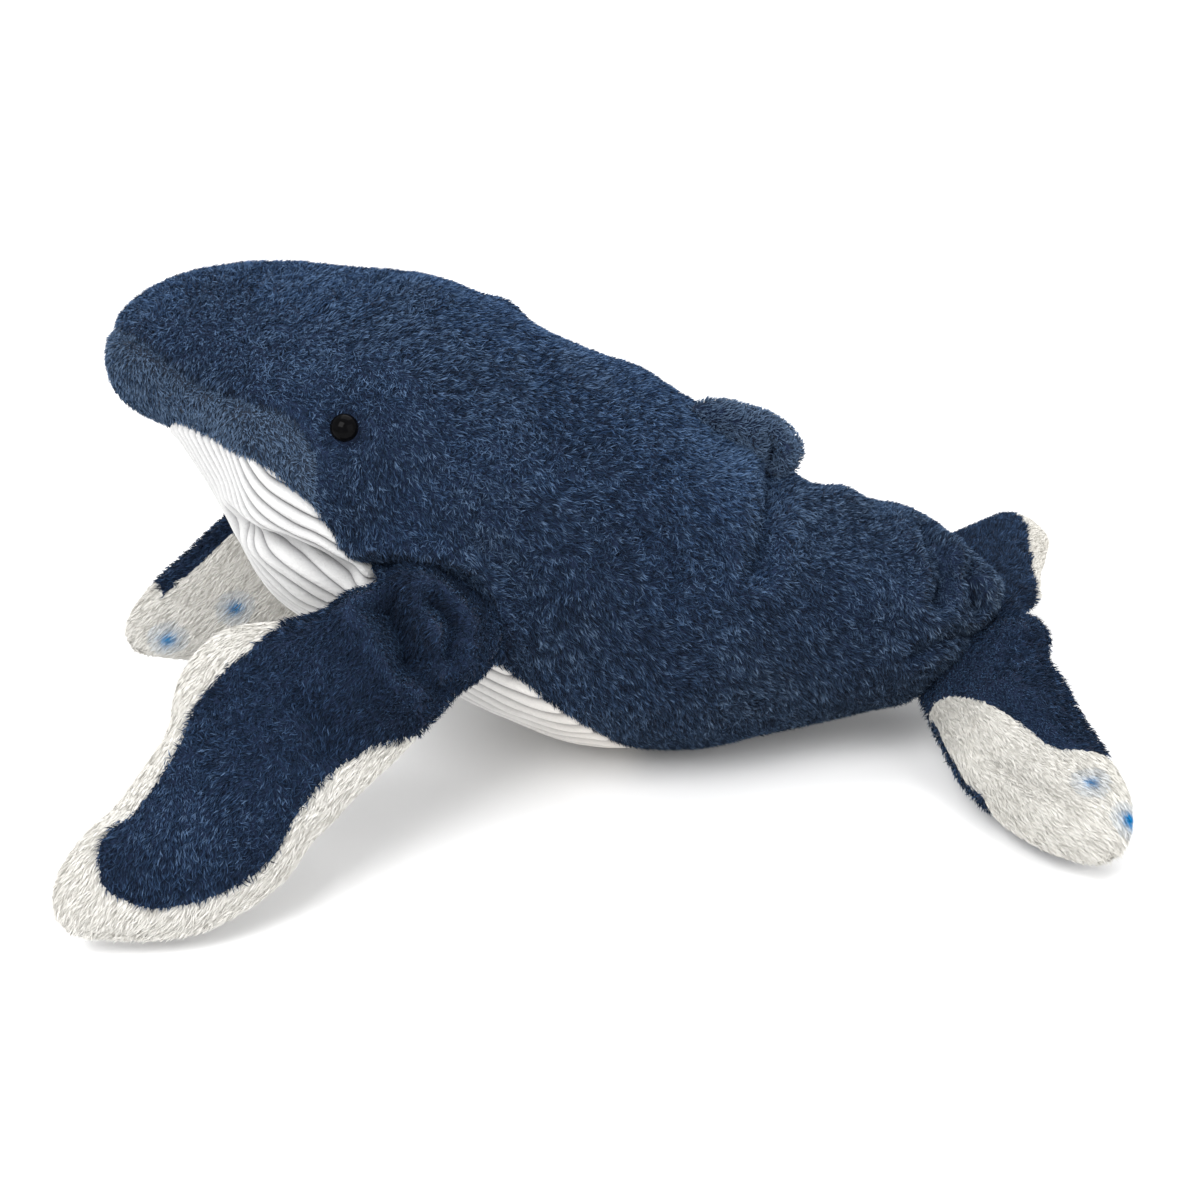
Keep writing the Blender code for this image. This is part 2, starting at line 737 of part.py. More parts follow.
def build_eye(side, finishes):
    """A safety eye, its lock washer and the room that both need. The side is 1 for left, -1 for right."""
    name = "left" if side > 0 else "right"
    place = body_point(EYE_ALONG_SHARE, side * EYE_ANGLE)
    out = body_normal(EYE_ALONG_SHARE, side * EYE_ANGLE)
    back = -EYE_SINK
    dome = back + EYE_FLANGE
    tip = back - EYE_SHANK_LENGTH
    profile = []
    for i in range(EYE_DOME_STEPS + 1):
        turn = math.pi / 2 * i / EYE_DOME_STEPS
        profile.append((EYE_RADIUS * math.sin(turn), dome + EYE_DOME_HEIGHT * math.cos(turn)))
    profile += [(EYE_RADIUS, back), (EYE_SHANK_RADIUS, back), (EYE_SHANK_RADIUS, tip), (0, tip)]
    mesh_object(f"{name}_eye", mesh_of(f"{name}_eye", lathe(profile, place, out)), finishes["eye"])

    washer_back = -WASHER_DEPTH - WASHER_THICKNESS
    bore = EYE_SHANK_RADIUS + WASHER_BORE_GAP
    profile = [
        (bore, -WASHER_DEPTH),
        (WASHER_RADIUS, -WASHER_DEPTH),
        (WASHER_RADIUS, washer_back),
        (bore, washer_back),
    ]
    washer = lathe(profile, place, out, closed=True)
    mesh_object(f"{name}_washer", mesh_of(f"{name}_washer", washer), finishes["washer"])

    top = dome + EYE_DOME_HEIGHT + EYE_CLEARANCE
    wide = EYE_RADIUS + EYE_CLEARANCE
    narrow = EYE_SHANK_RADIUS + EYE_CLEARANCE
    seat = back - EYE_CLEARANCE
    end = tip - EYE_CLEARANCE
    profile = [(0, top), (wide, top), (wide, seat), (narrow, seat), (narrow, end), (0, end)]
    room = mesh_of("room", lathe(profile, place, out))
    eye_room = helper(mesh_object(f"{name}_eye_room", room, None))
    wide = WASHER_RADIUS + EYE_CLEARANCE
    end = washer_back - EYE_CLEARANCE
    profile = [(0, top), (wide, top), (wide, end), (0, end)]
    room = mesh_of("room", lathe(profile, place, out))
    washer_room = helper(mesh_object(f"{name}_washer_room", room, None))
    return [("DIFFERENCE", eye_room)], [("DIFFERENCE", eye_room), ("DIFFERENCE", washer_room)]


def build_body(form, members, finishes, floor):
    sockets = [limb.root_ball("socket", ROOT_CLEARANCE) for limb in members.values()]
    socket_cuts = [("DIFFERENCE", socket) for socket in sockets]
    skin_holes = []
    stuffing_holes = []
    for side in (1, -1):
        skin_hole, stuffing_hole = build_eye(side, finishes)
        skin_holes += skin_hole
        stuffing_holes += stuffing_hole
    half_gap = SEAM_GAP / 2
    over_belly = side_prism("belly_room", BELLY_SEAM_SHARES, half_gap)
    over_mouth = side_prism("mouth_room", MOUTH_SEAM_SHARES, half_gap)
    under_belly = side_prism("belly_pattern", BELLY_SEAM_SHARES, -half_gap)
    under_mouth = side_prism("mouth_pattern", MOUTH_SEAM_SHARES, -half_gap)
    floor_cut = [("DIFFERENCE", floor)]
    cuts = [("DIFFERENCE", over_belly), ("DIFFERENCE", over_mouth)]
    panel("back_skin", form, finishes["navy"], cuts + floor_cut + socket_cuts + skin_holes, None)
    cuts = [("INTERSECT", under_mouth), ("DIFFERENCE", over_belly)]
    panel("jaw_skin", form, finishes["slate"], cuts, None)
    belly = mesh_object("belly_skin", mesh_of("belly_skin", belly_sheet()), finishes["ribbed"])
    for operation, cutter in [("INTERSECT", under_belly)] + floor_cut + socket_cuts:
        boolean(belly, operation, cutter)
    filling("body_stuffing", form, finishes["fill"], socket_cuts + stuffing_holes, None, tolerant=True)


def build_flipper(limb, seam_rows, finishes, cuts):
    """A navy top panel let into a white panel that wraps the edges, around the stuffing."""
    hinge = hinge_empty(f"{limb.name}_hinge", limb.place)
    form = limb.form()
    pattern = limb.seam_prism("pattern", seam_rows, -SEAM_GAP / 2)
    room = limb.seam_prism("pattern_room", seam_rows, SEAM_GAP / 2)
    panel(f"{limb.name}_top", form, finishes["navy"], [("INTERSECT", pattern)] + cuts, hinge)
    panel(f"{limb.name}_under", form, finishes["white"], [("DIFFERENCE", room)] + cuts, hinge)
    filling(f"{limb.name}_stuffing", form, finishes["fill"], cuts, hinge)


def build_fluke(limb, wrap_rows, finishes, cuts):
    """A navy lobe with a white patch let into its underside and wrapped over its edge."""
    hinge = hinge_empty(f"{limb.name}_hinge", limb.place)
    form = limb.form()
    half_gap = SEAM_GAP / 2
    patterns = []
    for name, growth in (("pattern", -half_gap), ("pattern_room", half_gap)):
        pattern = limb.seam_prism(name, FLUKE_PATCH_SHARES, growth)
        wrap = limb.seam_prism(f"{name}_wrap", wrap_rows, growth, through=True)
        boolean(pattern, "UNION", wrap)
        patterns.append(pattern)
    panel(f"{limb.name}_patch", form, finishes["white"], [("INTERSECT", patterns[0])] + cuts, hinge)
    panel(f"{limb.name}_skin", form, finishes["navy"], [("DIFFERENCE", patterns[1])] + cuts, hinge)
    filling(f"{limb.name}_stuffing", form, finishes["fill"], cuts, hinge)


def build_fin(limb, finishes, cuts):
    hinge = hinge_empty(f"{limb.name}_hinge", limb.place)
    form = limb.form()
    root = limb.place - limb.out * limb.root_radius
    reach = limb.half_chord + CUT_OVERRUN
    outline = ((-reach, -reach), (reach, -reach), (reach, reach), (-reach, reach))

    def place(a, b, depth):
        return root + limb.axis * a + limb.root_face * b + limb.out * depth

    opening = prism("dorsal_fin_opening", outline, place, -CUT_OVERRUN, FIN_OPENING_SHARE * FIN_ROOT_RADIUS)
    panel("dorsal_fin_skin", form, finishes["navy"], [("DIFFERENCE", opening)] + cuts, hinge)
    filling("dorsal_fin_stuffing", form, finishes["fill"], cuts, hinge)


def main():
    clear_scene()
    finishes = {
        "navy": material("navy_plush", NAVY, 0.9),
        "slate": material("slate_plush", SLATE, 0.9),
        "white": material("white_plush", WHITE_PILE, 0.9),
        "ribbed": material("ribbed_white", RIBBED_WHITE, 0.85),
        "fill": material("fibre_fill", FILL_WHITE, 0.95),
        "eye": material("eye_black", EYE_BLACK, 0.08),
        "washer": material("washer_plastic", WASHER_WHITE, 0.45),
    }
    floor = floor_cutter()
    form = body_form()
    members = limbs()
    build_body(form, members, finishes, floor)
    still = (0.0,)
    seams = {"left_flipper": LEFT_FLIPPER_SEAM_SHARES, "right_flipper": RIGHT_FLIPPER_SEAM_SHARES}
    for name, seam_rows in seams.items():
        limb = members[name]
        build_flipper(limb, seam_rows, finishes, body_cuts(form, limb, still, floor))
    wraps = {"left_fluke": LEFT_FLUKE_WRAP_SHARES, "right_fluke": RIGHT_FLUKE_WRAP_SHARES}
    for name, wrap_rows in wraps.items():
        limb = members[name]
        build_fluke(limb, wrap_rows, finishes, body_cuts(form, limb, FLUKE_SWINGS, floor))
    limb = members["dorsal_fin"]
    build_fin(limb, finishes, body_cuts(form, limb, FIN_SWINGS, floor))


main()
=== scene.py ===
"""The plush whale's looks: stuffed forms with folds, real pile made of strands, ribs, glossy eyes."""

import math

import bpy
import numpy as np
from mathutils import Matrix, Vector
from mathutils.bvhtree import BVHTree


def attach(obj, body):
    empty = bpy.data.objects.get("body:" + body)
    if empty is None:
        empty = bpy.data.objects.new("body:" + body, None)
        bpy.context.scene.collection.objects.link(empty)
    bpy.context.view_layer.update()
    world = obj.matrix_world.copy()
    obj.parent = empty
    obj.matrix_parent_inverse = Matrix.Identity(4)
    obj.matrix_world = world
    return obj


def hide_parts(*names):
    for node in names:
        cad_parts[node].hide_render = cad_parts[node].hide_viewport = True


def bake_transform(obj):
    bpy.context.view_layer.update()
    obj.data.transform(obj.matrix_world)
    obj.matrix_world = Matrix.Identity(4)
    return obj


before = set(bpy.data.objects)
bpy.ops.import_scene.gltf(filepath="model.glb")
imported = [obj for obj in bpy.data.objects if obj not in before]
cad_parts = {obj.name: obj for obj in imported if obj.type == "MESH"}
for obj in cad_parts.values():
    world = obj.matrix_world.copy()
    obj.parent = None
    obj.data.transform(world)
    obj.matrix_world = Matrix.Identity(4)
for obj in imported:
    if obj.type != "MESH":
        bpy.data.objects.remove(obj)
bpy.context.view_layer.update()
scene = bpy.context.scene

# ---- Forms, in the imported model's frame and in metres ----
# The body: how far its nose lies before the origin, its length, and units for its rings' half sizes and heights
NOSE, LENGTH, GIRTH, CROWN = 0.203, 0.320, 0.075, 0.180
DROP = 0.0005  # all rings lie this much lower than their table says
# Place along the body, height of the centre, half height and half width
BODY_ROWS = np.array([
    (0.000, 0.824, 0.030, 0.030), (0.010, 0.826, 0.160, 0.170), (0.027, 0.828, 0.238, 0.262),
    (0.050, 0.831, 0.304, 0.350), (0.078, 0.828, 0.362, 0.430), (0.107, 0.794, 0.474, 0.520),
    (0.140, 0.741, 0.618, 0.640), (0.175, 0.679, 0.768, 0.780), (0.212, 0.648, 0.838, 0.850),
    (0.262, 0.618, 0.890, 0.910), (0.317, 0.585, 0.940, 0.960), (0.372, 0.545, 0.980, 0.990),
    (0.432, 0.490, 0.992, 0.995), (0.495, 0.434, 0.978, 0.990), (0.546, 0.406, 0.952, 0.965),
    (0.598, 0.381, 0.912, 0.930), (0.656, 0.3435, 0.824, 0.850), (0.714, 0.318, 0.730, 0.760),
    (0.772, 0.287, 0.612, 0.650), (0.830, 0.284, 0.546, 0.590), (0.886, 0.284, 0.486, 0.530),
    (0.925, 0.283, 0.410, 0.450), (0.955, 0.280, 0.312, 0.350), (0.982, 0.280, 0.200, 0.220),
    (1.000, 0.280, 0.050, 0.050),
])
# Seams in side view: place along the body, and height as a share of CROWN
BELLY_SEAM = np.array([
    (0.068, 0.600), (0.073, 0.690), (0.085, 0.740), (0.126, 0.752), (0.184, 0.742), (0.216, 0.704),
    (0.241, 0.668), (0.266, 0.612), (0.304, 0.525), (0.355, 0.460), (0.410, 0.392), (0.455, 0.300),
    (0.498, 0.228), (0.541, 0.138), (0.585, 0.030), (0.610, -0.060),
])
MOUTH_SEAM = np.array([
    (-0.060, 0.880), (0.005, 0.886), (0.040, 0.903), (0.072, 0.892), (0.118, 0.853), (0.169, 0.843),
    (0.211, 0.831), (0.234, 0.805), (0.247, 0.770), (0.252, 0.735), (0.254, 0.660),
])
MOUTH_ENDS = (0.0, 0.252)  # where the mouth's seam shows
# Grooves along the seams: seam, start and end along the body, depth and width
SEAM_GROOVES = ((MOUTH_SEAM, *MOUTH_ENDS, 0.0016, 0.0017), (BELLY_SEAM, 0.085, 0.58, 0.0012, 0.0016))
UNDER_RIBS = 0.0075  # how much deeper the body's form lies behind the ribbed panel
EYE_ALONG, EYE_REACH = 0.282, (0.278, 0.286)  # the eyes' place along the body, and two near it
EYE_TURN = math.radians(123)  # their place round the body
# A limb's length, half chord, half thickness, root radius and root half chord
FLIPPER_SIZES = (0.155, 0.036, 0.014, 0.010, 0.022)
FLUKE_SIZES = (0.106, 0.024, 0.0115, 0.010, 0.021)
FIN_SIZES = (0.0140, 0.024, 0.0085, 0.0070, 0.021)
# A limb's rings: place along it, width, thickness and how far back it lies, as shares of its sizes
FLIPPER_RINGS = (
    (0.110, 0.660, 0.760, -0.030), (0.226, 0.750, 0.860, -0.060), (0.374, 0.940, 0.960, -0.180),
    (0.497, 0.940, 1.000, -0.120), (0.613, 0.820, 0.980, 0.110), (0.761, 0.700, 0.930, 0.170),
    (0.845, 0.600, 0.860, 0.120), (0.916, 0.440, 0.720, 0.060), (0.965, 0.270, 0.500, 0.020),
    (0.992, 0.120, 0.250, 0.010),
)
FLUKE_RINGS = (
    (0.110, 1.040, 0.920, 0.240), (0.280, 1.020, 1.000, 0.150), (0.460, 0.990, 1.000, 0.080),
    (0.640, 0.900, 0.950, 0.160), (0.800, 0.720, 0.860, 0.290), (0.900, 0.530, 0.700, 0.330),
    (0.965, 0.330, 0.460, 0.340), (0.992, 0.150, 0.220, 0.340),
)
FIN_RINGS = (
    (0.150, 0.900, 0.900, 0.060), (0.400, 0.800, 1.000, 0.130), (0.620, 0.650, 1.000, 0.230),
    (0.800, 0.450, 0.860, 0.310), (0.930, 0.250, 0.560, 0.350),
)
# Outlines of a limb's panels: place along it, and where they start and end across it
FLIPPER_PANEL = np.array([
    (-0.300, -1.500, 1.500), (0.110, -1.300, 1.300), (0.165, -1.020, 0.860), (0.215, -0.880, 0.680),
    (0.280, -0.840, 0.540), (0.360, -0.840, 0.490), (0.430, -0.820, 0.500), (0.520, -0.740, 0.610),
    (0.600, -0.550, 0.740), (0.720, -0.370, 0.690), (0.830, -0.330, 0.470), (0.860, -0.220, 0.320),
    (0.888, -0.020, 0.080),
])
RIGHT_FLIPPER_PANEL = np.array([
    (-0.300, -1.500, 1.500), (0.130, -1.500, 1.500), (0.200, -1.500, 1.400), (0.260, -1.500, 1.150),
    (0.310, -1.500, 0.760), (0.360, -1.500, 0.600), (0.430, -1.500, 0.560), (0.520, -1.500, 0.660),
    (0.600, -1.500, 0.740), (0.760, -1.500, 0.640), (0.830, -0.900, 0.480), (0.860, -0.400, 0.340),
    (0.888, -0.020, 0.080),
])
FLUKE_PATCH = np.array([
    (0.170, -0.960, -0.800), (0.200, -0.970, -0.550), (0.320, -0.960, -0.160), (0.480, -0.980, 0.150),
    (0.600, -0.900, 0.400), (0.680, -0.970, 1.000), (0.740, -1.300, 1.500), (1.200, -1.300, 1.500),
])
LEFT_WRAP = np.array([(0.860, -1.400, 1.600), (1.250, -1.400, 1.600)])
RIGHT_WRAP = np.array([
    (0.070, 1.400, 1.600), (0.150, 1.240, 1.600), (0.300, 1.040, 1.600), (0.450, 0.920, 1.600),
    (0.620, 0.780, 1.600), (0.800, 0.610, 1.600), (0.930, 0.340, 1.600), (1.250, 0.100, 1.600),
])
# Where the flippers' hinges are
SHOULDER = (-0.08132, -0.07566, 0.08617)
FAR_SHOULDER = (-0.08132, 0.07566, 0.08617)

INSET = 0.0020  # how far the backing lies under the CAD's surface, which is the pile's
FORM_FLOOR, RIB_FLOOR, PILE_FLOOR = 0.0012, 0.0008, 0.0003  # how low each kind of piece reaches
NAVY_LENGTH, WHITE_LENGTH = 0.0030, 0.0036
NAVY_WIDTH, WHITE_WIDTH = 0.00044, 0.00048


# ---- The photograph's camera: it also places folds and spots on the forms ----
AIM = Vector((-0.030, 0.0, 0.052))
DISTANCE, TILT, FOCAL = 0.75, math.radians(28), 2025.0
BACK = Vector((0.0, -math.cos(TILT), math.sin(TILT)))
EYE_POINT = AIM + BACK * DISTANCE


def add_object(name, data):
    obj = bpy.data.objects.new(name, data)
    scene.collection.objects.link(obj)
    return obj


def make_camera():
    data = bpy.data.cameras.new("photo_camera")
    data.sensor_width = 36.0
    data.lens = 36.0 * FOCAL / 1200.0
    data.clip_start = 0.01
    camera = add_object("photo_camera", data)
    camera.location = EYE_POINT
    camera.rotation_euler = BACK.to_track_quat("Z", "Y").to_euler()
    scene.camera = camera


def pixel_ray(px, py):
    right = Vector((1.0, 0.0, 0.0))
    up = BACK.cross(right)
    return (right * ((px - 600) / FOCAL) - up * ((py - 600) / FOCAL) - BACK).normalized()


def on_form(tree, px, py):
    """The point of a form that a pixel of the photograph shows, or else the nearest one to it."""
    hit = tree.ray_cast(EYE_POINT, pixel_ray(px, py))[0]
    if hit is None:
        hit = tree.find_nearest(EYE_POINT + pixel_ray(px, py) * DISTANCE)[0]
    return np.array(hit)


# ---- Numbers ----
def smooth_rows(rows, places):
    """Rows of a table whose first column is the place, read from a smooth curve at many places."""
    x = rows[:, 0]
    last = len(x) - 1
    i = np.clip(np.searchsorted(x, places) - 1, 0, last - 1)
    a, b = rows[i], rows[i + 1]
    before, after = rows[np.maximum(i - 1, 0)], rows[np.minimum(i + 2, last)]
    width = b[:, :1] - a[:, :1]
    t = np.clip((places[:, None] - a[:, :1]) / width, 0, 1)
    slope_in = (b - before) / (b[:, :1] - before[:, :1])
    slope_out = (after - a) / (after[:, :1] - a[:, :1])
    value = (
        a * (1 + 2 * t) * (1 - t) ** 2
        + b * t * t * (3 - 2 * t)
        + slope_in * width * t * (1 - t) ** 2
        - slope_out * width * t * t * (1 - t)
    )
    return value[:, 1:]


CELLS = 64  # the noise repeats after this many
LATTICE = np.random.default_rng(11).random((CELLS, CELLS, CELLS)).astype(np.float32)


def wave(points, size, shift):
    """Smooth noise from 0 to 1 over space, with features of the given size."""
    p = points / size + 200.0 + shift * 17.3
    base = np.floor(p).astype(int)
    f = p - base
    f = f * f * (3 - 2 * f)
    total = np.zeros(len(p))
    for dx in (0, 1):
        for dy in (0, 1):
            for dz in (0, 1):
                part = LATTICE[(base[:, 0] + dx) % CELLS, (base[:, 1] + dy) % CELLS, (base[:, 2] + dz) % CELLS]
                weight = (
                    (f[:, 0] if dx else 1 - f[:, 0])
                    * (f[:, 1] if dy else 1 - f[:, 1])
                    * (f[:, 2] if dz else 1 - f[:, 2])
                )
                total += part * weight
    return total


def bell(distance, width):
    """1 at no distance, falling to 0 over a few widths."""
    return np.exp(-((distance / width) ** 2))


def circle(count):
    return np.linspace(0, 2 * math.pi, count, endpoint=False)


def unit(v):
    return v / np.maximum(np.linalg.norm(v, axis=-1, keepdims=True), 1e-9)


def triangles(quads):
    return np.concatenate([quads[:, [0, 1, 2]], quads[:, [0, 2, 3]]])


def point_normals(points, tris):
    a, b, c = points[tris[:, 0]], points[tris[:, 1]], points[tris[:, 2]]
    face = np.cross(b - a, c - a)
    total = np.zeros_like(points)
    for k in range(3):
        np.add.at(total, tris[:, k], face)
    return unit(total)


# ---- Closed grids: rings of points, a pole at each end ----
def closed_grid(rings, start, end):
    """Points and triangles of a form through rings of equal count, with outward normals."""
    count, around = rings.shape[:2]
    points = np.concatenate([rings.reshape(-1, 3), [start], [end]])
    i = np.arange(count - 1)[:, None] * around
    j = np.arange(around)[None, :]
    k = (j + 1) % around
    quads = np.stack([i + j, i + k, i + around + k, i + around + j], -1).reshape(-1, 4)
    tris = triangles(quads)
    j, k = j[0], k[0]
    last = (count - 1) * around
    first_cap = np.stack([k, j, np.full(around, len(points) - 2)], -1)
    last_cap = np.stack([last + j, last + k, np.full(around, len(points) - 1)], -1)
    tris = np.concatenate([tris, first_cap, last_cap])
    volume = np.einsum("ij,ij->i", points[tris[:, 0]], np.cross(points[tris[:, 1]], points[tris[:, 2]])).sum()
    return points, tris if volume > 0 else tris[:, ::-1]


def body_rings(along, angles):
    """The body's points at places along it and angles round it, from the belly."""
    centre, tall, wide = smooth_rows(BODY_ROWS, along).T
    x = along * LENGTH - NOSE
    y = -(wide * GIRTH)[:, None] * np.sin(angles)[None, :]
    z = (centre * CROWN)[:, None] - DROP - (tall * GIRTH)[:, None] * np.cos(angles)[None, :]
    return np.stack([np.broadcast_to(x[:, None], y.shape), y, z], -1)


def body_grid(rows, around):
    """The whole body, with rings closer together near its ends."""
    turn = np.linspace(0, math.pi, rows)
    along = 0.6 * (1 - np.cos(turn)) / 2 + 0.4 * np.linspace(0, 1, rows)
    rings = body_rings(along, circle(around))
    start = np.array([-NOSE, 0, BODY_ROWS[0, 1] * CROWN - DROP])
    end = np.array([LENGTH - NOSE, 0, BODY_ROWS[-1, 1] * CROWN - DROP])
    return closed_grid(rings[1:-1], start, end)


class Limb:
    """A flipper, fluke or fin: rings along a span, from a root that is round about the hinge's axis."""

    def __init__(self, name, place, axis, span, face, side, twist, lean, sizes, rings):
        self.name = name
        self.place = np.array(place, float)
        self.axis = unit(np.array(axis, float))
        self.span = unit(np.array(span, float))
        face = np.array(face, float)
        self.face = unit(face - self.span * face.dot(self.span))
        self.trail = np.cross(self.face, self.span) * side
        self.twist, self.lean = twist, lean
        self.length, self.half_chord, self.half_thick, self.root_radius, self.root_chord = sizes
        self.rings = rings
        self.out = unit(self.span - self.axis * self.span.dot(self.axis))
        self.root_face = np.cross(self.out, self.axis) * side

    def grid(self, steps, around):
        """Points and triangles of the limb's form, its end capped."""
        rows = []
        for depth in (0.9, 0.6, 0.0):
            size = math.sqrt(1 - depth * depth)
            centre = self.place - self.out * (self.root_radius * depth)
            rows.append((centre, self.axis, self.root_face, self.root_chord * size, self.root_radius * size))
        for along, wide, thick, offset in self.rings:
            turn = min(along / self.twist, 1.0)
            turn = turn * turn * (3 - 2 * turn)
            chord = unit(self.axis * (1 - turn) + self.trail * turn)
            face = self.root_face * (1 - turn) + self.face * turn
            back = (offset + self.lean) * self.half_chord
            centre = self.place + self.span * (along * self.length) + chord * back
            rows.append((centre, chord, face, wide * self.half_chord, thick * self.half_thick))
        flat = np.array([np.concatenate([a, b, c, [d], [e]]) for a, b, c, d, e in rows])
        count = len(flat)
        numbered = np.concatenate([np.arange(count)[:, None], flat], 1)
        fine = smooth_rows(numbered, np.linspace(0, count - 1, steps))
        centre, chord, face = fine[:, 0:3], unit(fine[:, 3:6]), fine[:, 6:9]
        face = unit(face - chord * (face * chord).sum(1, keepdims=True))
        angle = circle(around)
        ring = (
            centre[:, None]
            + chord[:, None] * (fine[:, 9:10, None] * np.sin(angle)[None, :, None])
            + face[:, None] * (fine[:, 10:11, None] * np.cos(angle)[None, :, None])
        )
        start = self.place - self.out * self.root_radius
        end = self.place + self.span * self.length + self.trail * back
        return closed_grid(ring, start, end)

    def inside(self, points, table):
        """Which points lie within a panel's outline, on either side of the limb."""
        p = points - self.place
        a = p @ self.span / self.length
        b = p @ self.trail / self.half_chord
        lead, trail = smooth_rows(table, np.clip(a, table[0, 0], table[-1, 0])).T
        return (b > lead) & (b < trail) & (a > table[0, 0]) & (a < table[-1, 0])


# ---- Folds: creases and bulges drawn on the photograph ----
def nearness(points, spot, radius):
    return bell(np.linalg.norm(points - spot, axis=1), radius)


def fold_height(points, tree, creases, bulges):
    """Height of the folds: creases are lines with a depth and a width, bulges have a rise and a radius."""
    height = np.zeros(len(points))
    for pixels, depth, width in creases:
        line = [on_form(tree, *pixel) for pixel in pixels]
        near = np.full(len(points), 1.0)
        for a, b in zip(line, line[1:]):
            ab = b - a
            t = np.clip(((points - a) @ ab) / max(ab @ ab, 1e-12), 0, 1)
            near = np.minimum(near, np.linalg.norm(points - a - t[:, None] * ab, axis=1))
        height -= depth * bell(near, width)
        height += 0.30 * depth * bell(near - 2.0 * width, 1.1 * width)
    for pixel, rise, radius in bulges:
        height += rise * nearness(points, on_form(tree, *pixel), radius)
    return height


def tree_of(points, tris):
    return BVHTree.FromPolygons(points.tolist(), tris.tolist())


def seam_height(points, seam):
    """How far a body point lies above a seam drawn in side view, in metres."""
    places = np.linspace(seam[0, 0], seam[-1, 0], 300)
    heights = smooth_rows(seam, places)[:, 0] * CROWN
    along = (points[:, 0] + NOSE) / LENGTH
    return points[:, 2] - np.interp(along, places, heights, left=-1, right=-1)


def seam_distance(points, seam, low, high):
    """Distance in side view to a seam, between two places along it."""
    places = np.linspace(low, high, 160)
    line = np.stack([places * LENGTH - NOSE, smooth_rows(seam, places)[:, 0] * CROWN], -1)
    best = np.full(len(points), 1.0)
    for x, z in line:
        best = np.minimum(best, np.hypot(points[:, 0] - x, points[:, 2] - z))
    return best


def eye_frame(side):
    """An eye's place on the head and the way that it looks out."""
    angle = side * EYE_TURN

    def at(along, turn):
        ring = body_rings(np.array([along]), np.array([turn]))
        return ring[0, 0] + np.array([0, 0, DROP])

    place = at(EYE_ALONG, angle)
    lengthwise = at(EYE_REACH[1], angle) - at(EYE_REACH[0], angle)
    around = at(EYE_ALONG, angle + 0.004) - at(EYE_ALONG, angle - 0.004)
    return place, unit(np.cross(lengthwise, around))


# ---- Meshes ----
def mesh_piece(name, points, faces, materials, indices=None, uv=None):
    """An object from arrays. faces is a list of (n, 3) or (n, 4) arrays."""
    mesh = bpy.data.meshes.new(name)
    corners = np.concatenate([f.reshape(-1) for f in faces]).astype(np.int32)
    totals = np.concatenate([np.full(len(f), f.shape[1]) for f in faces])
    starts = np.concatenate([[0], np.cumsum(totals)[:-1]]).astype(np.int32)
    mesh.vertices.add(len(points))
    mesh.vertices.foreach_set("co", np.ascontiguousarray(points, np.float32).reshape(-1))
    mesh.loops.add(len(corners))
    mesh.loops.foreach_set("vertex_index", corners)
    mesh.polygons.add(len(totals))
    mesh.polygons.foreach_set("loop_start", starts)
    for material in materials:
        mesh.materials.append(material)
    if indices is not None:
        mesh.polygons.foreach_set("material_index", indices.astype(np.int32))
    if uv is not None:
        layer = mesh.uv_layers.new(name="OFBake")
        layer.data.foreach_set("uv", uv[corners].astype(np.float32).reshape(-1))
    mesh.update(calc_edges=True)
    mesh.shade_smooth()
    return add_object(name, mesh)


# ---- Materials ----
def node_material(name, roughness, sheen=0.0, tint=(1, 1, 1), specular=0.3):
    """A material, its node tree and its shader."""
    material = bpy.data.materials.new(name)
    material.use_nodes = True
    net = material.node_tree
    shader = net.nodes["Principled BSDF"]
    shader.inputs["Roughness"].default_value = roughness
    shader.inputs["Specular IOR Level"].default_value = specular
    shader.inputs["Sheen Weight"].default_value = sheen
    shader.inputs["Sheen Roughness"].default_value = 0.45
    shader.inputs["Sheen Tint"].default_value = (*tint, 1)
    return material, net, shader


def feed(net, sockets, values):
    """Set sockets to numbers, or link them."""
    for socket, value in zip(sockets, values):
        if isinstance(value, float):
            socket.default_value = value
        else:
            net.links.new(value, socket)


def math_node(net, operation, *values):
    node = net.nodes.new("ShaderNodeMath")
    node.operation = operation
    feed(net, node.inputs, values)
    return node.outputs[0]


def ramp(net, factor, colours):
    """Colours spread evenly from a factor of 0 to 1."""
    node = net.nodes.new("ShaderNodeValToRGB")
    elements = node.color_ramp.elements
    while len(elements) < len(colours):
        elements.new(0.5)
    for i, colour in enumerate(colours):
        elements[i].position = i / (len(colours) - 1)
        elements[i].color = (*colour, 1)
    net.links.new(factor, node.inputs["Fac"])
    return node.outputs["Color"]


def mix(net, factor, a, b, kind="MIX"):
    node = net.nodes.new("ShaderNodeMix")
    node.data_type = "RGBA"
    node.blend_type = kind
    feed(net, (node.inputs["Factor"], node.inputs[6], node.inputs[7]), (factor, a, b))
    return node.outputs[2]


BANDS = 8  # how many hues the pile's map holds, one above the other


def pile_material(name, first, second, painted_root_shade, sheen, tint):
    """Pile: across the map runs a strand's tone, and up it, in bands from one hue to the other, root to tip. Each
    strand darkens towards its root: painted shade between the strands.
    """
    material, net, shader = node_material(name, 0.75, sheen, tint, 0.12)
    uv = net.nodes.new("ShaderNodeUVMap")
    uv.uv_map = "OFBake"
    split = net.nodes.new("ShaderNodeSeparateXYZ")
    net.links.new(uv.outputs["UV"], split.inputs[0])
    up = math_node(net, "MULTIPLY", split.outputs["Y"], float(BANDS))
    band = math_node(net, "DIVIDE", math_node(net, "FLOOR", up), float(BANDS - 1))
    height = math_node(net, "FRACT", up)
    hues = [ramp(net, split.outputs["X"], tones) for tones in (first, second)]
    colour = mix(net, band, *hues)
    # Painted shade: the root end of every strand is darker, the tip keeps its colour.
    shade = ramp(net, height, [(painted_root_shade,) * 3, (0.35 + 0.65 * painted_root_shade,) * 3, (1, 1, 1)])
    net.links.new(mix(net, 1.0, colour, shade, "MULTIPLY"), shader.inputs["Base Color"])
    return material


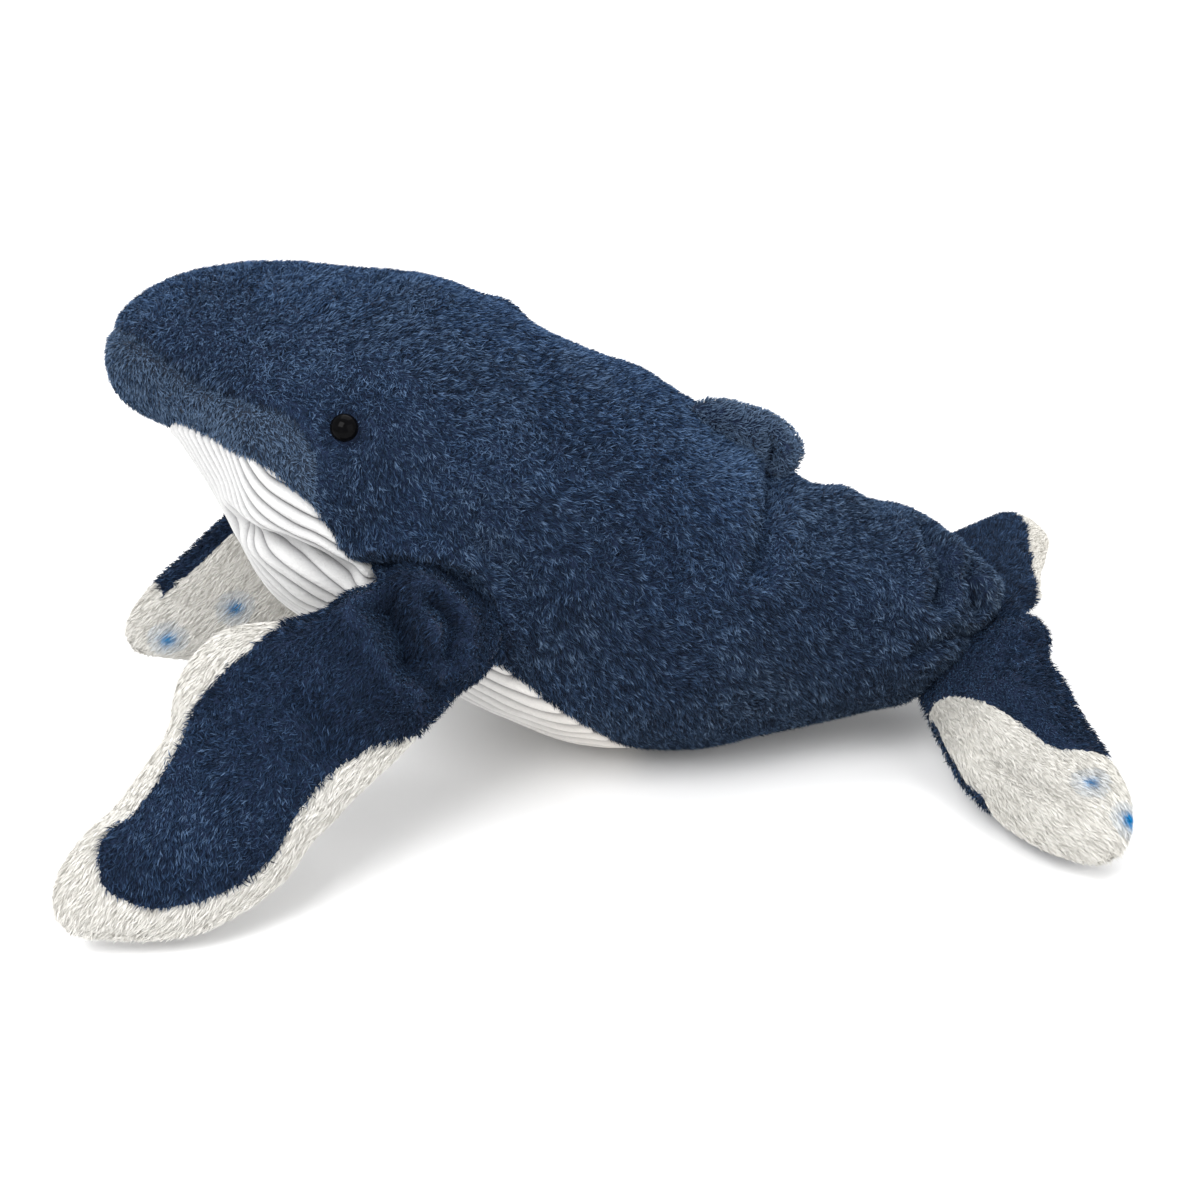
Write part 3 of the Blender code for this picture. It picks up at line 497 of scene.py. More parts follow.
def noise_node(net, scale, detail=4.0, distortion=0.0, stretch=None):
    """Noise in the piece's own space."""
    node = net.nodes.new("ShaderNodeTexNoise")
    node.inputs["Scale"].default_value = scale
    node.inputs["Detail"].default_value = detail
    node.inputs["Distortion"].default_value = distortion
    where = net.nodes.new("ShaderNodeTexCoord")
    source = where.outputs["Object"]
    if stretch:
        mapping = net.nodes.new("ShaderNodeMapping")
        mapping.inputs["Scale"].default_value = stretch
        net.links.new(source, mapping.inputs["Vector"])
        source = mapping.outputs["Vector"]
    net.links.new(source, node.inputs["Vector"])
    return node.outputs["Fac"]


def blend_nodes(net, first, share, second, second_share):
    parts = [math_node(net, "MULTIPLY", *pair) for pair in ((first, share), (second, second_share))]
    return math_node(net, "ADD", *parts)


def bump_node(net, shader, height, strength, distance):
    bump = net.nodes.new("ShaderNodeBump")
    bump.inputs["Strength"].default_value = strength
    bump.inputs["Distance"].default_value = distance
    net.links.new(height, bump.inputs["Height"])
    net.links.new(bump.outputs["Normal"], shader.inputs["Normal"])


def backing_material(name, dark, light):
    """Fabric under and between the strands: mottled, with a fine nap."""
    material, net, shader = node_material(name, 0.9, 0.2, specular=0.2)
    broad = noise_node(net, 60.0)
    nap = noise_node(net, 1400.0, 6.0)
    tone = blend_nodes(net, broad, 0.5, nap, 0.5)
    net.links.new(ramp(net, tone, [dark, dark, light, light]), shader.inputs["Base Color"])
    bump_node(net, shader, nap, 0.6, 0.0006)
    return material


# Linear colours, from the darkest strands to the lightest
NAVY_TONES = [(0.002, 0.007, 0.022), (0.010, 0.030, 0.080), (0.038, 0.085, 0.195), (0.120, 0.210, 0.380)]
SLATE_TONES = [(0.005, 0.009, 0.019), (0.024, 0.041, 0.070), (0.076, 0.115, 0.172), (0.190, 0.255, 0.340)]
WHITE_TONES = [(0.63, 0.61, 0.565), (0.66, 0.645, 0.605), (0.69, 0.675, 0.64), (0.72, 0.71, 0.68)]
BLUE_TONES = [(0.002, 0.13, 0.32), (0.003, 0.17, 0.41), (0.005, 0.21, 0.48), (0.012, 0.26, 0.54)]
# The fourth number is each pile's painted shade at the strands' roots.
navy_pile = pile_material("navy_pile", NAVY_TONES, SLATE_TONES, 0.05, 0.30, (0.30, 0.55, 1.0))
white_pile = pile_material("white_pile", WHITE_TONES, BLUE_TONES, 0.95, 0.05, (1.0, 0.99, 0.96))
navy_backing = backing_material("navy_backing", (0.004, 0.009, 0.026), (0.014, 0.028, 0.070))
slate_backing = backing_material("slate_backing", (0.008, 0.013, 0.026), (0.026, 0.038, 0.062))
white_backing = backing_material("white_backing", (0.64, 0.625, 0.59), (0.70, 0.69, 0.66))


def ribbed_material():
    """White ribbed fabric: darker between its ribs and in its folds, which is painted shade, and warmer towards the
    belly.
    """
    material, net, shader = node_material("ribbed_fabric", 0.85, 0.3, specular=0.2)
    broad = noise_node(net, 45.0, 3.0)
    nap = noise_node(net, 1500.0, 8.0, 0.3)
    fibre = noise_node(net, 900.0, 6.0, 0.0, (0.25, 1.0, 1.0))
    tone = blend_nodes(net, broad, 0.45, nap, 0.55)
    colour = ramp(net, tone, [(0.521, 0.519, 0.516), (0.622, 0.620, 0.617), (0.681, 0.679, 0.676)])
    # The crest attribute darkens the valleys between ribs and the folds: painted shade.
    depth = net.nodes.new("ShaderNodeAttribute")
    depth.attribute_name = "crest"
    shade = ramp(net, depth.outputs["Fac"], [(0.08, 0.08, 0.085), (0.62, 0.62, 0.63), (1, 1, 1)])
    rear = net.nodes.new("ShaderNodeSeparateXYZ")
    net.links.new(net.nodes.new("ShaderNodeTexCoord").outputs["Object"], rear.inputs[0])
    share = math_node(net, "MULTIPLY", math_node(net, "ADD", rear.outputs["X"], 0.090), 14.0)
    warm = ramp(net, share, [(0.94, 0.94, 0.94), (1.0, 0.945, 0.875)])
    colour = mix(net, 1.0, colour, warm, "MULTIPLY")
    net.links.new(mix(net, 1.0, colour, shade, "MULTIPLY"), shader.inputs["Base Color"])
    bump_node(net, shader, math_node(net, "ADD", nap, fibre), 0.8, 0.0005)
    return material


def eye_material():
    material, net, shader = node_material("eye_gloss", 0.06, specular=0.025)
    shader.inputs["Coat Weight"].default_value = 0.012
    shader.inputs["Coat Roughness"].default_value = 0.03
    speck = noise_node(net, 700.0, 5.0)
    black = ramp(net, speck, [(0.0008, 0.0008, 0.001), (0.003, 0.003, 0.0035)])
    net.links.new(black, shader.inputs["Base Color"])
    rough = math_node(net, "ADD", math_node(net, "MULTIPLY", speck, 0.05), 0.04)
    net.links.new(rough, shader.inputs["Roughness"])
    return material


def washer_material():
    material, net, shader = node_material("washer_nylon", 0.5)
    grain = noise_node(net, 1100.0, 4.0)
    net.links.new(ramp(net, grain, [(0.62, 0.62, 0.60), (0.74, 0.74, 0.72)]), shader.inputs["Base Color"])
    return material


# ---- Pile ----
MOST_STRANDS = 62000  # in one piece
TUFTS = 9973  # different tufts, a prime so that they don't line up
ROOT_DEPTH = 0.0003  # how far inside its backing a strand starts
BODY_COMB = np.array([0.62, 0.0, -0.80])  # the way that the body's pile is brushed
LIP_TONE, LIP_LENGTH = 0.74, 0.92  # the lip's pile against the back's: lighter and shorter
EYE_CLEAR, EYE_NEAR = 0.0046, 0.008  # no pile this close to an eye's axis; shorter pile near it


def scatter(points, tris, density, rng):
    """Roots spread evenly over a surface, with the surface's smooth normals there."""
    normals = point_normals(points, tris)
    a, b, c = points[tris[:, 0]], points[tris[:, 1]], points[tris[:, 2]]
    area = np.linalg.norm(np.cross(b - a, c - a), axis=1) / 2
    total = int(area.sum() * density)
    place = (np.arange(total) + rng.random(total)) / total * area.sum()
    pick = np.minimum(np.searchsorted(np.cumsum(area), place), len(tris) - 1)
    u, v = rng.random(total), rng.random(total)
    over = u + v > 1
    u[over], v[over] = 1 - u[over], 1 - v[over]
    w = 1 - u - v
    t = tris[pick]
    where = points[t[:, 0]] * w[:, None] + points[t[:, 1]] * u[:, None] + points[t[:, 2]] * v[:, None]
    way = normals[t[:, 0]] * w[:, None] + normals[t[:, 1]] * u[:, None] + normals[t[:, 2]] * v[:, None]
    return where, unit(way)


def strands(roots, normals, comb, length, width, tone, band, rng, style):
    """Points, faces and map of one ribbon strand for each root."""
    tuft, gather, rise, spread, mottle, stray = style
    count = len(roots)
    swirl = np.stack([wave(roots, 0.020, k) - 0.5 for k in (1, 2, 3)], -1)
    fine = np.stack([wave(roots, 0.0045, k) - 0.5 for k in (4, 5, 6)], -1)
    way = comb + (swirl * 1.1 + fine * 1.1 + (rng.random((count, 3)) - 0.5) * 1.1) * stray
    flat = unit(way - normals * (way * normals).sum(1, keepdims=True))
    lift = spread * ((wave(roots, 0.009, 7) - 0.5) * 0.6 + (rng.random(count) - 0.5))
    first = unit(normals * (rise + 0.5 * lift)[:, None] + flat * 0.60)
    second = unit(normals * (0.38 * rise + lift)[:, None] + flat * 0.95)
    size = length * (0.70 + 0.6 * rng.random(count))
    root = roots - normals * ROOT_DEPTH
    middle = root + first * (size * 0.48)[:, None]
    tip = middle + second * (size * 0.52)[:, None]
    cell = np.floor(roots / tuft + 500.0)
    key = (cell[:, 0] * 73856093 + cell[:, 1] * 19349663 + cell[:, 2] * 83492791).astype(np.int64) % TUFTS
    table = np.random.default_rng(5).random((TUFTS, 4))
    centre = (cell - 500.0 + 0.15 + 0.7 * table[key, :3]) * tuft
    pull = centre - roots
    pull -= normals * (pull * normals).sum(1, keepdims=True)
    tip = tip + pull * gather
    middle = middle + pull * (gather * 0.4)
    side = unit(np.cross(tip - root, normals) + (rng.random((count, 3)) - 0.5) * 0.2)
    half = side * (width / 2 * (0.7 + 0.6 * rng.random(count)))[:, None]
    points = np.stack([root - half, root + half, middle + half * 0.95, middle - half * 0.95, tip], 1)
    points[:, :, 2] = np.maximum(points[:, :, 2], PILE_FLOOR)
    tone = tone + mottle * ((table[key, 3] - 0.5) + 1.3 * (rng.random(count) - 0.5))
    # the map: tone across, and root to tip up a hue's band
    u = 0.03 + 0.94 * np.clip(tone, 0.0, 1.0)
    low = np.clip(np.round(band * (BANDS - 1)), 0, BANDS - 1) / BANDS
    uv = np.empty((count, 5, 2))
    uv[:, :, 0] = u[:, None] + np.array([-0.006, 0.006, 0.006, -0.006, 0.0])
    uv[:, :, 1] = low[:, None] + np.array([0.08, 0.08, 0.5, 0.5, 0.93]) / BANDS
    first_point = np.arange(count)[:, None] * 5
    quads = first_point + np.array([0, 1, 2, 3])
    tips = first_point + np.array([3, 2, 4])
    return points.reshape(-1, 3), [quads, tips], uv.reshape(-1, 2)


# A pile's tuft size, how far tips draw together, rise, spread of the rise, mottling, stray
NAVY_STYLE = (0.0017, 0.34, 1.20, 0.85, 0.86, 1.30)
LIMB_STYLE = (0.0017, 0.34, 1.20, 0.85, 0.62, 1.30)
WHITE_STYLE = (0.0030, 0.0, 0.34, 0.05, 0.04, 0.42)
NAVY_DENSITY, WHITE_DENSITY = 3.2e6, 4.4e6  # strands in a square metre


def pile_pieces(name, material, roots, normals, comb, length, width, tone, band, seed, place, style):
    """Pieces of pile, none with too many strands, each placed by the function."""
    order = np.random.default_rng(seed).permutation(len(roots))
    parts = math.ceil(len(roots) / MOST_STRANDS)
    for number in range(parts):
        pick = order[number::parts]
        rng = np.random.default_rng(seed * 100 + number)
        lengths = length[pick] if np.ndim(length) else length
        points, faces, uv = strands(
            roots[pick], normals[pick], comb[pick], lengths, width, tone[pick], band[pick], rng, style
        )
        label = f"{name}_{number + 1}" if parts > 1 else name
        obj = mesh_piece(label, points, faces, [material], uv=uv)
        place(obj)


def outside(points, tree, lo, hi, margin):
    """Which points lie outside a closed form, or no deeper than the margin in it."""
    out = np.ones(len(points), bool)
    near = np.where(((points > lo) & (points < hi)).all(1))[0]
    for i in near:
        spot, normal, _, _ = tree.find_nearest(Vector(points[i]))
        out[i] = (Vector(points[i]) - spot).dot(normal) > -margin
    return out


def inside_body(points, grow):
    """Which points lie inside the body's rings, grown by a distance."""
    x = points[:, 0]
    centre, tall, wide = smooth_rows(BODY_ROWS, np.clip((x + NOSE) / LENGTH, 0, 1)).T
    y = points[:, 1] / (wide * GIRTH + grow)
    z = (points[:, 2] - centre * CROWN) / (tall * GIRTH + grow)
    return (y * y + z * z < 1) & (x > -NOSE) & (x < LENGTH - NOSE)


# ---- The limbs ----
# Name, hinge place, axis, span, face, side, twist, lean, sizes, rings
LIMBS = [
    Limb("left_flipper", SHOULDER, (0.80, 0.03, -0.60), (-0.77, -0.45, -0.47), (0.12, -0.79, 0.60), 1,
         0.35, 0.0, FLIPPER_SIZES, FLIPPER_RINGS),
    Limb("right_flipper", FAR_SHOULDER, (0.80, -0.03, -0.60), (-0.84, -0.35, -0.41), (-0.445, 0.866, -0.05), -1,
         0.55, 0.0, FLIPPER_SIZES, FLIPPER_RINGS),
    Limb("left_fluke", (0.104, -0.0135, 0.039), (0.90, 0.0, 0.40), (0.30, -0.915, -0.265), (-0.45, -0.35, 0.82), 1,
         0.35, -0.16, FLUKE_SIZES, FLUKE_RINGS),
    Limb("right_fluke", (0.104, 0.0135, 0.039), (0.98, 0.0, 0.15), (0.32, 0.94, -0.095), (0.08, -0.10, -0.99), 1,
         0.35, 0.0, FLUKE_SIZES, FLUKE_RINGS),
    Limb("dorsal_fin", (0.0196, 0.0, 0.1170), (0.8211, 0.0, -0.5708), (0.5708, 0.0, 0.8211), (0.0, -1.0, 0.0), -1,
         0.50, 0.0, FIN_SIZES, FIN_RINGS),
]
# Folds: pixels of the photograph, then a depth and a width, or a rise and a radius
LIMB_CREASES = {
    "left_flipper": [
        (((370, 580), (384, 602), (400, 628), (412, 655)), 0.0098, 0.0056),
        (((432, 604), (450, 624), (446, 654)), 0.0052, 0.0034),
        (((412, 668), (440, 690), (462, 706)), 0.0026, 0.0036),
        (((300, 700), (318, 722), (330, 750)), 0.0016, 0.0050),
        (((196, 760), (215, 790), (222, 820)), 0.0014, 0.0045),
    ],
    "left_fluke": [
        (((975, 750), (1015, 775), (1060, 800)), 0.0020, 0.0028),
        (((1000, 700), (1040, 735), (1085, 770)), 0.0012, 0.0040),
    ],
    "dorsal_fin": [(((771, 438), (774, 452), (770, 470)), 0.0056, 0.0027)],
}
LIMB_BULGES = {
    "left_flipper": [((428, 640), 0.0030, 0.008), ((466, 650), 0.0040, 0.010), ((350, 690), 0.0014, 0.014)],
    "left_fluke": [
        ((1010, 690), 0.0016, 0.011), ((1045, 800), 0.0014, 0.012), ((1024, 630), 0.0050, 0.012),
        ((1074, 656), -0.0034, 0.009),
    ],
    "right_fluke": [((1026, 630), 0.0076, 0.014), ((1043, 573), 0.0030, 0.007), ((1047, 594), -0.0020, 0.006)],
    "dorsal_fin": [((790, 455), 0.0014, 0.007)],
}
BODY_CREASES = [
    (((352, 574), (392, 572), (440, 577), (465, 590), (480, 610), (485, 645)), 0.0066, 0.0040),
    (((774, 470), (771, 515), (763, 568)), 0.0050, 0.0050),
    (((922, 522), (930, 545), (945, 575), (940, 600)), 0.0052, 0.0036),
    (((960, 556), (964, 580), (974, 606)), 0.0074, 0.0031),
    (((915, 658), (949, 641), (993, 624)), 0.0030, 0.0034),
    (((512, 330), (532, 340), (540, 372)), 0.0022, 0.0060),
    (((440, 540), (480, 560), (515, 600)), 0.0014, 0.0060),
]
BODY_BULGES = [
    ((505, 306), 0.0048, 0.0100), ((636, 362), 0.0015, 0.0110), ((430, 288), 0.0020, 0.0110),
    ((984, 588), 0.0070, 0.0080), ((950, 562), 0.0046, 0.0085), ((925, 518), -0.0012, 0.0090),
    ((820, 500), 0.0018, 0.0120), ((672, 402), 0.0020, 0.0130), ((706, 416), 0.0030, 0.0120),
    ((738, 438), 0.0032, 0.0110), ((738, 490), 0.0024, 0.0150), ((440, 545), 0.0016, 0.0140),
    ((845, 498), 0.0034, 0.0090),
]
# Lighter and darker places in the pile: a pixel, the change of tone and a radius
BODY_TONES = [
    ((650, 500), -0.13, 0.038), ((560, 640), -0.06, 0.040), ((890, 600), -0.08, 0.028),
    ((712, 432), 0.20, 0.016), ((748, 470), 0.14, 0.015), ((981, 590), 0.16, 0.009),
    ((430, 290), 0.06, 0.030), ((560, 400), 0.05, 0.030),
]
# Painted shade in the near flipper's shoulder hollow and folds and in the crease at the fin's front; painted sheen
# as lighter patches on the near flipper.
LIMB_PAINTED_SHADE_AND_SHEEN = {
    "left_flipper": [
        ((389, 612), -0.40, 0.0065), ((452, 640), -0.12, 0.0080), ((190, 810), 0.52, 0.0300),
        ((300, 690), 0.20, 0.0200),
    ],
    "dorsal_fin": [((773, 455), -0.55, 0.0036)],
}
# Blue airbrushed spots: a pixel and a radius
SPOTS = {
    "right_flipper": [((240, 606), 0.0033), ((172, 638), 0.0034)],
    "left_fluke": [((1086, 777), 0.0029), ((1127, 815), 0.0029)],
}
LIMB_INSET, LIMB_INSETS = 0.0015, {"dorsal_fin": 0.0028}  # as INSET
SHOULDER_WRAP, WRAP_SHARES = 0.022, (0.11, 0.21)  # near its root the navy goes right round a flipper
EDGE_WRAP = {"right_flipper": 0.0052, "left_fluke": 0.0042}  # how far a face's panel goes round the edge
HIDDEN_IN_BODY, HIDDEN_IN_LIMB = 0.004, 0.0022  # no strands deeper than this
# How much lighter a limb's navy pile is, and the tone of its white pile
LIMB_TONES = {
    "left_flipper": -0.44, "right_flipper": -0.26, "left_fluke": -0.32, "right_fluke": -0.28, "dorsal_fin": 0.86,
}
WHITE_SHADE, WHITE_SHADES = 0.62, {"right_fluke": 0.0, "left_fluke": 0.45}


def build_limb(limb, seed):
    """A limb's padded form and its navy and white pile. Returns the form's points and triangles."""
    is_fin = limb.name == "dorsal_fin"
    is_flipper = "flipper" in limb.name
    around, steps = (64, 60) if is_fin else (96, 130)
    points, tris = limb.grid(steps, around)
    tree = tree_of(points, tris)
    normals = point_normals(points, tris)
    drawn = (LIMB_CREASES.get(limb.name, []), LIMB_BULGES.get(limb.name, []))
    height = fold_height(points, tree, *drawn)
    height += 0.0022 * (wave(points, 0.020, seed) - 0.5)
    half = np.abs((points - limb.place) @ limb.face)
    inset = np.minimum(LIMB_INSETS.get(limb.name, LIMB_INSET), 0.45 * np.maximum(half, 0.0006))
    base = points + normals * (height - inset)[:, None]
    base[:, 2] = np.maximum(base[:, 2], FORM_FLOOR)

    def whiteness(where):
        if is_fin:
            return np.zeros(len(where), bool)
        reach = EDGE_WRAP.get(limb.name, 0.0)
        if is_flipper:
            share = (where - limb.place) @ limb.span / limb.length
            near_root = np.clip((WRAP_SHARES[1] - share) / (WRAP_SHARES[1] - WRAP_SHARES[0]), 0, 1)
            reach = reach + near_root * SHOULDER_WRAP
        front = (where - limb.place) @ limb.face > -reach
        if is_flipper:
            panel = FLIPPER_PANEL if limb.name == "left_flipper" else RIGHT_FLIPPER_PANEL
            return ~(limb.inside(where, panel) & front)
        wrap = LEFT_WRAP if limb.name == "left_fluke" else RIGHT_WRAP
        return (limb.inside(where, FLUKE_PATCH) & front) | limb.inside(where, wrap)

    white_face = whiteness(base[tris].mean(1)).astype(int)
    form = mesh_piece(f"{limb.name}_form", base, [tris], [navy_backing, white_backing], indices=white_face)
    if is_fin:
        nodes = ["dorsal_fin_skin", "dorsal_fin_stuffing"]
    elif is_flipper:
        nodes = [f"{limb.name}_{part}" for part in ("top", "under", "stuffing")]
    else:
        nodes = [f"{limb.name}_{part}" for part in ("skin", "patch", "stuffing")]

    def place(obj):
        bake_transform(obj)

    place(form)
    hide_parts(*nodes)

    rng = np.random.default_rng(seed)
    density = NAVY_DENSITY if is_fin else WHITE_DENSITY
    roots, root_normals = scatter(base, tris, density, rng)
    keep = ~inside_body(roots, -HIDDEN_IN_BODY)
    roots, root_normals = roots[keep], root_normals[keep]
    edge = (wave(roots, 0.004, 9) - 0.5) * 0.0016
    white = whiteness(roots + limb.trail * edge[:, None] + limb.span * edge[:, None])
    sweep = limb.trail if not is_fin else limb.axis
    comb = np.broadcast_to(limb.span * 0.9 + sweep * 0.25, roots.shape)
    low = wave(roots, 0.022, 12)
    folds = fold_height(roots, tree, *drawn)
    tone = 0.44 + 0.35 * (low - 0.5)
    thin = rng.random(len(roots)) < NAVY_DENSITY / density
    for label, chosen, material, slot in (
        ("navy", ~white & thin, navy_pile, "navy_plush"),
        ("white", white, white_pile, "white_plush"),
    ):
        if not chosen.any():
            continue
        where = roots[chosen]
        if label == "white":
            length, width, style = WHITE_LENGTH, WHITE_WIDTH, WHITE_STYLE
            band = np.zeros(len(where))
            for pixel, radius in SPOTS.get(limb.name, []):
                distance = np.linalg.norm(where - on_form(tree, *pixel), axis=1)
                core, halo = bell(distance, radius), bell(distance / radius, 1.8)
                band = np.maximum(band, np.maximum(1.25 * core, 0.40 * halo))
            shade = WHITE_SHADES.get(limb.name, WHITE_SHADE) + 0.3 * (low[chosen] - 0.5)
        else:
            length, width, style = NAVY_LENGTH, NAVY_WIDTH, LIMB_STYLE
            band = np.full(len(where), 0.40 if is_fin else 0.14)
            # Darker in the creases: painted shade.
            shade = tone[chosen] + 70 * np.minimum(folds[chosen], 0) + LIMB_TONES[limb.name]
            # Patches of painted shade and painted sheen.
            for pixel, change, radius in LIMB_PAINTED_SHADE_AND_SHEEN.get(limb.name, []):
                shade = shade + change * nearness(where, on_form(tree, *pixel), radius)

        def finish(obj, slot=slot):
            place(obj)

        pile_pieces(
            f"{limb.name}_{label}_pile", material, where, root_normals[chosen], comb[chosen], length, width,
            shade, band, seed + (50 if label == "white" else 0), finish, style,
        )
    return base, tris


# ---- The body ----
def build_body(limb_forms):
    """The body's padded form and its pile, which leaves room for the limbs and eyes."""
    points, tris = body_grid(230, 300)
    tree = tree_of(points, tris)
    normals = point_normals(points, tris)
    height = fold_height(points, tree, BODY_CREASES, BODY_BULGES)
    height += 0.0026 * (wave(points, 0.030, 3) - 0.5) + 0.0010 * (wave(points, 0.012, 4) - 0.5)
    for seam, start, end, depth, width in SEAM_GROOVES:
        height -= depth * bell(seam_distance(points, seam, start, end), width)
    for side in (1, -1):
        height -= 0.0012 * nearness(points, eye_frame(side)[0], 0.0080)
    under = np.clip(-seam_height(points, BELLY_SEAM) / 0.006, 0, 1) * np.clip((points[:, 0] + 0.187) / 0.006, 0, 1)
    height -= UNDER_RIBS * under
    base = points + normals * (height - INSET)[:, None]
    base[:, 2] = np.maximum(base[:, 2], FORM_FLOOR)

    def region(where):
        belly = seam_height(where, BELLY_SEAM) < 0
        lip = (seam_height(where, MOUTH_SEAM) < 0) & ~belly
        return np.where(belly, 2, np.where(lip, 1, 0))

    form = mesh_piece(
        "body_form", base, [tris], [navy_backing, slate_backing, white_backing], indices=region(base[tris].mean(1))
    )
    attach(form, "body")
    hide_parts("back_skin", "jaw_skin", "body_stuffing")

    rng = np.random.default_rng(21)
    roots, root_normals = scatter(base, tris, NAVY_DENSITY, rng)
    edge = (wave(roots, 0.004, 9) - 0.5) * 0.0012
    kind = region(roots + np.array([0, 0, 1.0]) * edge[:, None])
    keep = kind < 2
    for side in (1, -1):
        spot, way = eye_frame(side)
        offset = roots - spot
        across = np.linalg.norm(offset - (offset @ way)[:, None] * way, axis=1)
        keep &= ~((across < EYE_CLEAR) & (np.linalg.norm(offset, axis=1) < 0.012))
    roots, root_normals, kind = roots[keep], root_normals[keep], kind[keep]
    for limb, (limb_points, limb_tris) in zip(LIMBS, limb_forms):
        lo, hi = limb_points.min(0), limb_points.max(0)
        free = outside(roots, tree_of(limb_points, limb_tris), lo, hi, HIDDEN_IN_LIMB)
        roots, root_normals, kind = roots[free], root_normals[free], kind[free]
    comb = np.broadcast_to(BODY_COMB, roots.shape)
    greyer = np.clip(roots[:, 0] / 0.11, 0, 1)
    up = np.clip(root_normals[:, 2], -1, 1)
    # Greyer towards the tail is the fabric's own hue; bluer towards the top and greyer below is painted sheen.
    band = np.where(kind == 1, 0.45, 0.34 + 0.42 * greyer - 0.34 * up + 0.3 * (wave(roots, 0.03, 14) - 0.5))
    # Strands in the creases are darkened below: painted shade.
    folds = fold_height(roots, tree, BODY_CREASES, [])
    # Lighter towards the top: painted light.
    tone = 0.34 + 0.34 * (wave(roots, 0.026, 12) - 0.5) + 0.27 * up + 45 * np.minimum(folds, 0)
    tone = tone + np.where(kind == 1, LIP_TONE, 0.0)
    for pixel, change, radius in BODY_TONES:
        tone += change * nearness(roots, on_form(tree, *pixel), radius)
    length = np.where(kind == 1, NAVY_LENGTH * LIP_LENGTH, NAVY_LENGTH)
    for side in (1, -1):
        distance = np.linalg.norm(roots - eye_frame(side)[0], axis=1)
        length = np.where(distance < EYE_NEAR, length * 0.62, length)
    seam = np.minimum(
        seam_distance(roots, MOUTH_SEAM, *MOUTH_ENDS), seam_distance(roots, BELLY_SEAM, 0.085, 0.60)
    )
    length = np.where(seam < 0.0018, length * 0.7, length)

    for label, number, slot in (("back_pile", 0, "navy_plush"), ("lip_pile", 1, "slate_plush")):
        pick = kind == number

        def place(obj, slot=slot):
            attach(obj, "body")

        pile_pieces(
            label, navy_pile, roots[pick], root_normals[pick], comb[pick], length[pick], NAVY_WIDTH,
            tone[pick], band[pick], 31 + number, place, NAVY_STYLE,
        )


# ---- The throat, eyes and studio ----
RIB_PITCH, RIB_DEPTH = 0.0054, 0.0030
RIB_ENDS = (0.071, 0.602)  # places along the body
RIB_CORE = (-0.080, 0.0, 0.080)  # a point inside the body that closes the panel's form
RIB_CREASES = [(((236, 522), (285, 546), (345, 574)), 0.0042, 0.0040)]
RIB_BULGES = [((275, 500), 0.0026, 0.0120), ((300, 595), 0.0020, 0.0120)]


